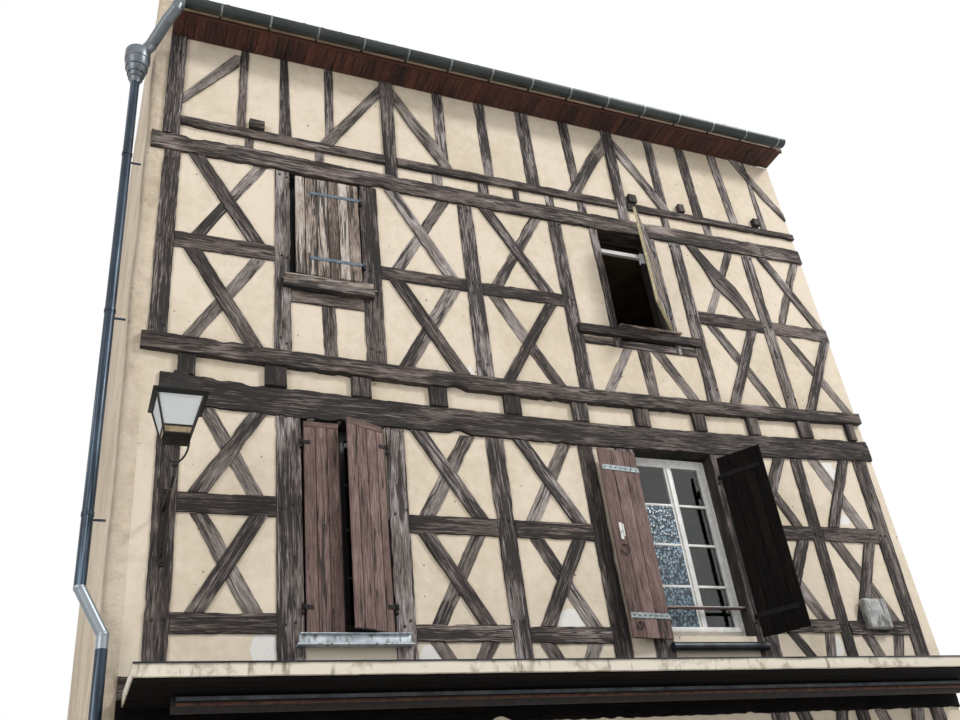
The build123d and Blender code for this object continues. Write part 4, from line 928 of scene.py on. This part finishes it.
# sills, each of its own make: folded sheet, rolled sheet, hewn timber, and boards laid on the timber
sills = boxPiece("sillFirstLeft", sillZinc, "old_oak_rail",
                 ((-2.38, -4.088, 3.655), (-1.47, frontY, 3.672), 0.004),
                 ((-2.36, -4.06, 3.672), (-1.49, frontY, 3.742), 0.006, 2),
                 ((-2.36, -4.084, 3.738), (-1.49, frontY, 3.75), 0.004))
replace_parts(sills, "window_sills")
rolledSill = {"ends": (0.892, 1.898), "y": -4.048, "z": 3.645, "radius": 0.039}
bm = newShape()
start, end = ((x, rolledSill["y"], rolledSill["z"]) for x in rolledSill["ends"])
addRod(bm, start, end, rolledSill["radius"], 20)
addBox(bm, (0.90, -4.046, 3.652), (1.89, frontY, 3.684), bevel=0.004)
finishPiece("sillFirstRight", bm, sillDark)
hewnSills = [((-2.468, -4.074, 6.936), (-1.602, frontY, 7.014)), ((0.582, -4.059, 6.886), (2.078, frontY, 6.989))]
bm = newShape()
for number, (low, high) in enumerate(hewnSills):
    part = boxPart(low, high)
    hewTimber(part, -1, timberStyles["rail"], 31 + number)
    mergeInto(bm, part)
finishPiece("sillsSecond", bm, oakBeam)
boxPiece("sillBoards", shutterGrey, "old_oak_rail",
         ((-2.48, -4.045, 7.018), (-1.57, frontY, 7.052), 0.003, 1, 0, 2, -0.1),
         ((-2.44, -4.035, 7.054), (-1.60, frontY, 7.112), 0.003, 1, 0, 3, 0.05),
         ((1.10, -4.05, 7.028), (1.87, frontY, 7.052), 0.003, 1, 0, 4))

# glazing bars, given by the sash's sides and the bars' heights, with drip mouldings and beads below and between
bars = {"y": -3.874, "size": 0.024, "out": 0.026, "rows": (4.251, 4.658, 5.064), "rearY": 3.848}
barRows = [(1.03, 1.36, bars["rows"]), (1.43, 1.75, bars["rows"]), (-2.22, -1.98, bars["rows"]),
           (-1.93, -1.69, bars["rows"]), (-2.30, -1.79, (7.47, 7.90))]
drips = {"sashes": ((0.985, 1.79, 3.815), (-2.26, -1.64, 3.815)), "high": 0.05, "out": 0.03, "beadHalf": 0.02,
         "beadOut": 0.014, "beadTop": 5.47}
rearWindows = [(left, right, bottom, top) for left, right in ((-2.006, -0.727), (0.872, 2.151))
               for bottom, top in ((4.35, 5.45), (7.05, 8.15), (1.15, 2.45)) if bottom > 2 or left > 0]
bm = newShape()
barY, halfBar = bars["y"], bars["size"] / 2
for left, right, levels in barRows:
    for level in levels:
        addBox(bm, (left, barY, level - halfBar), (right, barY + bars["out"], level + halfBar), bevel=0.004,
               segments=2)
for left, right, bottom in drips["sashes"]:
    upper, middle = bottom + drips["high"], (left + right) / 2
    addBox(bm, (left, barY - drips["out"], bottom), (right, barY + 0.01, upper), bevel=0.012, segments=3)
    addBox(bm, (middle - drips["beadHalf"], barY - drips["beadOut"], upper),
           (middle + drips["beadHalf"], barY, drips["beadTop"]), bevel=0.006, segments=2)
for left, right, bottom, top in rearWindows:
    middle = (left + right) / 2
    for share in (0.36, 0.64):
        level = bottom + (top - bottom) * share
        for near, far in ((left + 0.09, middle - 0.03), (middle + 0.03, right - 0.09)):
            addBox(bm, (near, bars["rearY"], level - halfBar), (far, bars["rearY"] + bars["out"], level + halfBar),
                   bevel=0.004)
finishPiece("glazingBars", bm, windowPaint)

# inner shutters of plain boards behind the rear windows
innerBoards = {"count": 8, "lap": 0.05, "gap": 0.001, "inner": 3.655, "outer": 3.68}
bm = newShape()
for left, right, bottom, top in rearWindows:
    lap = innerBoards["lap"]
    width = (right - left + 2 * lap) / innerBoards["count"]
    for index in range(innerBoards["count"]):
        near = left - lap + width * index
        addBox(bm, (near, innerBoards["inner"], bottom - lap),
               (near + width - innerBoards["gap"], innerBoards["outer"], top + lap), bevel=0.003, axis=2,
               seed=index * 0.9 + bottom, tone=0.02 * (index % 3))
finishPiece("innerShuttersRear", bm, doorWood)

# figured glass in the lower panes of the right window, laid behind the bars
boxPiece("figuredPanes", figuredGlassSkyTint, "window_glass", ((1.024, -3.872, 3.87), (1.356, -3.866, 5.052)))
# guard rail: a round-edged brown bar with a pale strip along its top
rail = boxPiece("guardRailBar", doorWood, "old_oak_rail",
                ((0.935, -3.96, 4.011), (1.84, -3.932, 4.032), 0.005, 3, 0, 8))
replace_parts(rail, "guard_rail")
boxPiece("guardRailPaleTop", windowPaint, "old_oak_rail", ((0.937, -3.955, 4.0325), (1.838, -3.935, 4.0385), 0.002))
print("windows fitted")

# canopy: rendered edge with a dark drip line, boards below painted near black as shade, flashing over it
canopy = {"left": -3.57, "back": -4.03, "front": -4.80, "edge": -4.7, "middle": 3.3, "cuts": 95, "step": 0.08,
          "boards": 7, "spacing": 0.105, "board": 0.102, "under": 3.238, "top": 3.2525}
bm = nodeShape("canopy", dissolve=False)
roundEdges(bm, bm.edges[:], 0.006)
for index in range(1, canopy["cuts"]):
    cutAt(bm, (canopy["left"] + index * canopy["step"], 0, 0), (1, 0, 0))
for vert in bm.verts:
    if vert.co.y < canopy["edge"]:
        amount = 0.004 + 0.006 * wobble(vert.co, 0.25, 2.0) + 0.004 * wobble(vert.co, 0.07, 3.0)
        vert.co.y += max(0.0, amount)
        vert.co.z += max(0.0, amount * 0.6) * (1 if vert.co.z < canopy["middle"] else -1)
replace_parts(finishPiece("canopyRendered", bm, canopyEdge), "canopy")
bm = newShape()
chance = random.Random(23)
for index in range(canopy["boards"]):
    near = canopy["front"] + 0.03 + index * canopy["spacing"]
    addBox(bm, (canopy["left"] + 0.01, near, canopy["under"] + chance.uniform(0, 0.004)),
           (boundaryX - 0.01, near + canopy["board"], canopy["top"]), bevel=0.003, seed=index,
           tone=chance.uniform(-0.05, 0.05))
finishPiece("canopyBoards", bm, canopyShadePainted)
boxPiece("canopyFlashing", sillDark, "zinc",
         ((canopy["left"], -4.808, 3.334), (boundaryX, canopy["back"], 3.343), 0.002))

# awning folded away: the rolled cloth on its hangers, a rusty rail and the hem bar
awning = {"ends": (-3.28, 3.70), "y": -4.33, "z": 3.19, "radius": 0.0605, "hangers": (-3.2, -1.6, 0.2, 1.9, 3.6)}
bm = newShape()
start, end = ((x, awning["y"], awning["z"]) for x in awning["ends"])
addRod(bm, start, end, awning["radius"], 28)
for x in awning["hangers"]:
    addBox(bm, (x - 0.02, -4.34, 3.236), (x + 0.02, -4.32, 3.252), bevel=0.002)
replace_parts(finishPiece("awningRolled", bm, awningCloth), "awning_cassette")
boxPiece("awningRail", rustIron, "roller_metal", ((-3.26, -4.445, 3.158), (3.68, -4.42, 3.176), 0.004, 2))
boxPiece("awningHem", elbowZinc, "roller_metal", ((-3.26, -4.412, 3.196), (3.68, -4.404, 3.222), 0.002))

# junction box with a lid lip and four screws
box = {"body": ((3.147, -4.088, 3.806), (3.428, -4.02, 4.099), 0.008, 2),
       "lid": ((3.155, -4.099, 3.814), (3.420, -4.084, 4.091), 0.006, 2),
       "screws": [(x, z) for x in (3.175, 3.40) for z in (3.834, 4.071)]}
bm = newShape()
addBox(bm, *box["body"])
addBox(bm, *box["lid"])
for x, z in box["screws"]:
    addRod(bm, (x, -4.096, z), (x, -4.1, z), 0.006, 10)
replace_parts(finishPiece("junctionBoxShell", bm, boxEnamel), "junction_box")

# lantern: frosted panes between iron bars, a tiered cap, a lamp holder and the fork that carries them;
# tiers are low and high level, half width at each, and bevel
lamp = {"x": -3.38, "y": -4.64, "bars": ((0.092, 4.985), (0.165, 5.27)), "bar": 0.0085,
        "tiers": [(5.268, 5.284, 0.172, 0.190, 0.003), (5.284, 5.300, 0.1970, 0.1970, 0.004),
                  (5.300, 5.398, 0.178, 0.118, 0.004), (5.398, 5.412, 0.098, 0.098, 0.003),
                  (5.412, 5.500, 0.086, 0.060, 0.003), (5.500, 5.538, 0.058, 0.045, 0.004),
                  (4.975, 4.990, 0.097, 0.099, 0.003), (5.034, 5.046, 0.107, 0.110, 0.002)],
        "panes": [(5.042, 5.266, 0.104, 0.160, 0.0)], "holder": [(4.988, 5.038, 0.090, 0.102, 0.0)]}


def tierShape(tiers):
    bm = newShape()
    for low, high, lowHalf, highHalf, bevel in tiers:
        part = newShape()
        bmesh.ops.create_cube(part, size=1)
        for vert in part.verts:
            half, z = (highHalf, high) if vert.co.z > 0 else (lowHalf, low)
            vert.co = (lamp["x"] + half * (1 if vert.co.x > 0 else -1),
                       lamp["y"] + half * (1 if vert.co.y > 0 else -1), z)
        if bevel:
            roundEdges(part, part.edges[:], bevel)
        mergeInto(bm, part)
    return bm


bm = tierShape(lamp["tiers"])
for sideX in (-1, 1):
    for sideY in (-1, 1):
        low, high = ((lamp["x"] + sideX * half, lamp["y"] + sideY * half, z) for half, z in lamp["bars"])
        addRod(bm, low, high, lamp["bar"], 8)
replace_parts(finishPiece("lanternFrame", bm, iron), "lantern")
finishPiece("lanternPanes", tierShape(lamp["panes"]), milkGlass)
finishPiece("lanternHolder", tierShape(lamp["holder"]), brass)

# bracket: wall plate, arm, stem with a ball, lyre arms up to the frame, a bent stay with its curl, and bolts
bracket = {"arm": 0.011, "armLow": 4.679, "armHigh": 4.701, "ball": (4.775, 0.024), "bolts": (4.28, 4.56, 4.84),
           "stem": ((4.679, 4.785, 0.012, 12), (4.785, 4.92, 0.009, 10)),
           "lyre": (0.094, 4.788, 0.19, 0.0075), "stay": (4.03, 0.78, 4.31, 0.35, 0.0065)}
bm = newShape()
x, y = lamp["x"], lamp["y"]
addBox(bm, (x - 0.018, -4.026, 4.25), (x + 0.034, -4.014, 4.87), bevel=0.003)
addBox(bm, (x - bracket["arm"], y + 0.01, bracket["armLow"]), (x + bracket["arm"], -4.026, bracket["armHigh"]),
       bevel=0.003)
for low, high, radius, segments in bracket["stem"]:
    addRod(bm, (x, y, low), (x, y, high), radius, segments)
addBall(bm, (x, y, bracket["ball"][0]), bracket["ball"][1])
reach, low, rise, radius = bracket["lyre"]
for side in (-1, 1):
    addPath(bm, [Vector((x + side * (reach * sin(index / 12 * pi * 0.5)), y, low + rise * (index / 12) ** 1.6))
                 for index in range(13)], radius)
back, span, low, rise, radius = bracket["stay"]
addPath(bm, [Vector((x, -(back + (-y - back) * span * (index / 18)), low + rise * sin(index / 18 * pi * 0.5) ** 0.8))
             for index in range(19)], radius)
addArc(bm, ((x, -4.105, 4.34), 0.012, 0.006, 0, "X"), (x, -4.075, 4.34), (1, 0, 0), 300, 18)
for z in bracket["bolts"]:
    addBall(bm, (x + 0.008, -4.027, z), 0.009)
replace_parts(finishPiece("lanternBracket", bm, iron), "lantern_bracket")
print("lantern and canopy made")

# panelled doors over the plain leaves: for each door the panels' sides, their heights, the faces and a grain seed
panels = [(((-2.34, -2.03), (-1.93, -1.62)), ((0.20, 0.80), (0.90, 1.55), (1.65, 2.32)), (-3.952, -3.938), 0),
          (((-1.93, -1.45), (-1.28, -0.80)), ((0.2, 0.9), (1.0, 2.15)), (3.938, 3.952), 5)]
bm = newShape()
for columns, levels, (front, back), seed in panels:
    for index, (low, high) in enumerate(levels):
        for near, far in columns:
            addBox(bm, (near, front, low), (far, back, high), bevel=0.012, segments=2, axis=2, seed=index + seed)
finishPiece("doorPanels", bm, doorWood)
knobs = {"level": 1.1, "stem": 0.012, "ball": 0.027, "places": ((-1.57, -3.94, -1), (-1.38, 3.94, 1))}
bm = newShape()
for x, y, out in knobs["places"]:
    addRod(bm, (x, y, knobs["level"]), (x, y + out * 0.05, knobs["level"]), knobs["stem"])
    addBall(bm, (x, y + out * 0.052, knobs["level"]), knobs["ball"])
finishPiece("doorKnobs", bm, brass)

# CAD nodes that stay as they are under a finish
stays = [
    (plainRender, ("rear_infill", "right_party_wall")), (stone, ("plinths", "ground_floor")),
    # the fascias take the soffit boards' painted shade
    (floorWood, ("upper_floors", "roof_deck_front", "roof_deck_rear", "wall_plates")), (soffitWoodShadeDarkened, ("fascias",)),
    (gutterZinc, ("gutters",)), (pipeZinc, ("rain_pipe",)), (windowPaint, ("window_frames", "casements")),
    # the open window's frame carries painted shade and a painted highlight
    (openFrameShadeAndHighlight, ("open_window_frame",)), (glass, ("window_glass",)), (doorPlain, ("doors",)),
    (iron, ("shutter_pintles",)),
]
for material, names in stays:
    for nodeName in names:
        mesh = nodes[nodeName].data
        mesh.materials.clear()
        mesh.materials.append(material)

bm = bmesh.new()
bmesh.ops.create_grid(bm, x_segments=1, y_segments=1, size=60)
mesh = bpy.data.meshes.new("floor")
bm.to_mesh(mesh)
bm.free()
floor = bpy.data.objects.new("floor", mesh)
bpy.context.scene.collection.objects.link(floor)
# pale matt ground that only catches the shadows
floorPaint, tree, shader = newMaterial("stageFloorPale", roughness=0.9)
cloud = noiseNode(tree, addNode(tree, "ShaderNodeTexCoord").outputs["Object"], 0.4, 2)
tree.links.new(rampNode(tree, cloud, (0.3, "#e2e0dc"), (0.7, "#e6e4e0")), shader.inputs["Base Color"])
mesh.materials.append(floorPaint)

# white to the eye and in glass, a little cooler and weaker as light
world = bpy.data.worlds.new("studio")
bpy.context.scene.world = world
world.use_nodes = True
tree = world.node_tree
tree.nodes.clear()
rays = addNode(tree, "ShaderNodeLightPath").outputs
seen = mathNode(tree, "MAXIMUM", rays["Is Camera Ray"], rays["Is Glossy Ray"])
seen = mathNode(tree, "MAXIMUM", seen, rays["Is Transmission Ray"])
light = addNode(tree, "ShaderNodeBackground", {"Color": hexColor("#f4f6fa"), "Strength": 0.62}).outputs[0]
white = addNode(tree, "ShaderNodeBackground", {"Color": (1, 1, 1, 1), "Strength": 1.0}).outputs[0]
both = addNode(tree, "ShaderNodeMixShader", {0: seen, 1: light, 2: white}).outputs[0]
addNode(tree, "ShaderNodeOutputWorld", {"Surface": both})

# key from high on the right, the side that the photograph's light comes from: place, target, size, power
lamps = {"keyLamp": ((15, -20, 21), (0, -4, 6), 5, 3600), "fillLamp": ((-17, -15, 9), (0, -3, 5), 10, 1100),
         "rearLamp": ((4, 24, 16), (0, 3, 5), 9, 2600)}
for name, (place, target, size, power) in lamps.items():
    area = bpy.data.lights.new(name, "AREA")
    area.shape = "DISK"
    area.size = size
    area.energy = power
    item = bpy.data.objects.new(name, area)
    item.location = place
    item.rotation_euler = (Vector(target) - Vector(place)).to_track_quat("-Z", "Y").to_euler()
    bpy.context.scene.collection.objects.link(item)

# camera solved from the photograph
view = {"lens": 36.07, "spot": (-4.0, -11.1, 1.6), "right": (0.92203, -0.37108, -0.11030),
        "up": (-0.10844, -0.52108, 0.84659), "forward": (0.37163, 0.76862, 0.52069)}
camera = bpy.data.cameras.new("photoCamera")
camera.lens = view["lens"]
camera.sensor_width = 36
cameraItem = bpy.data.objects.new("photoCamera", camera)
turn = Matrix((Vector(view["right"]), Vector(view["up"]), -Vector(view["forward"]))).transposed().to_4x4()
cameraItem.matrix_world = Matrix.Translation(Vector(view["spot"])) @ turn
bpy.context.scene.collection.objects.link(cameraItem)
bpy.context.scene.camera = cameraItem
bpy.context.scene.view_settings.view_transform = "Standard"
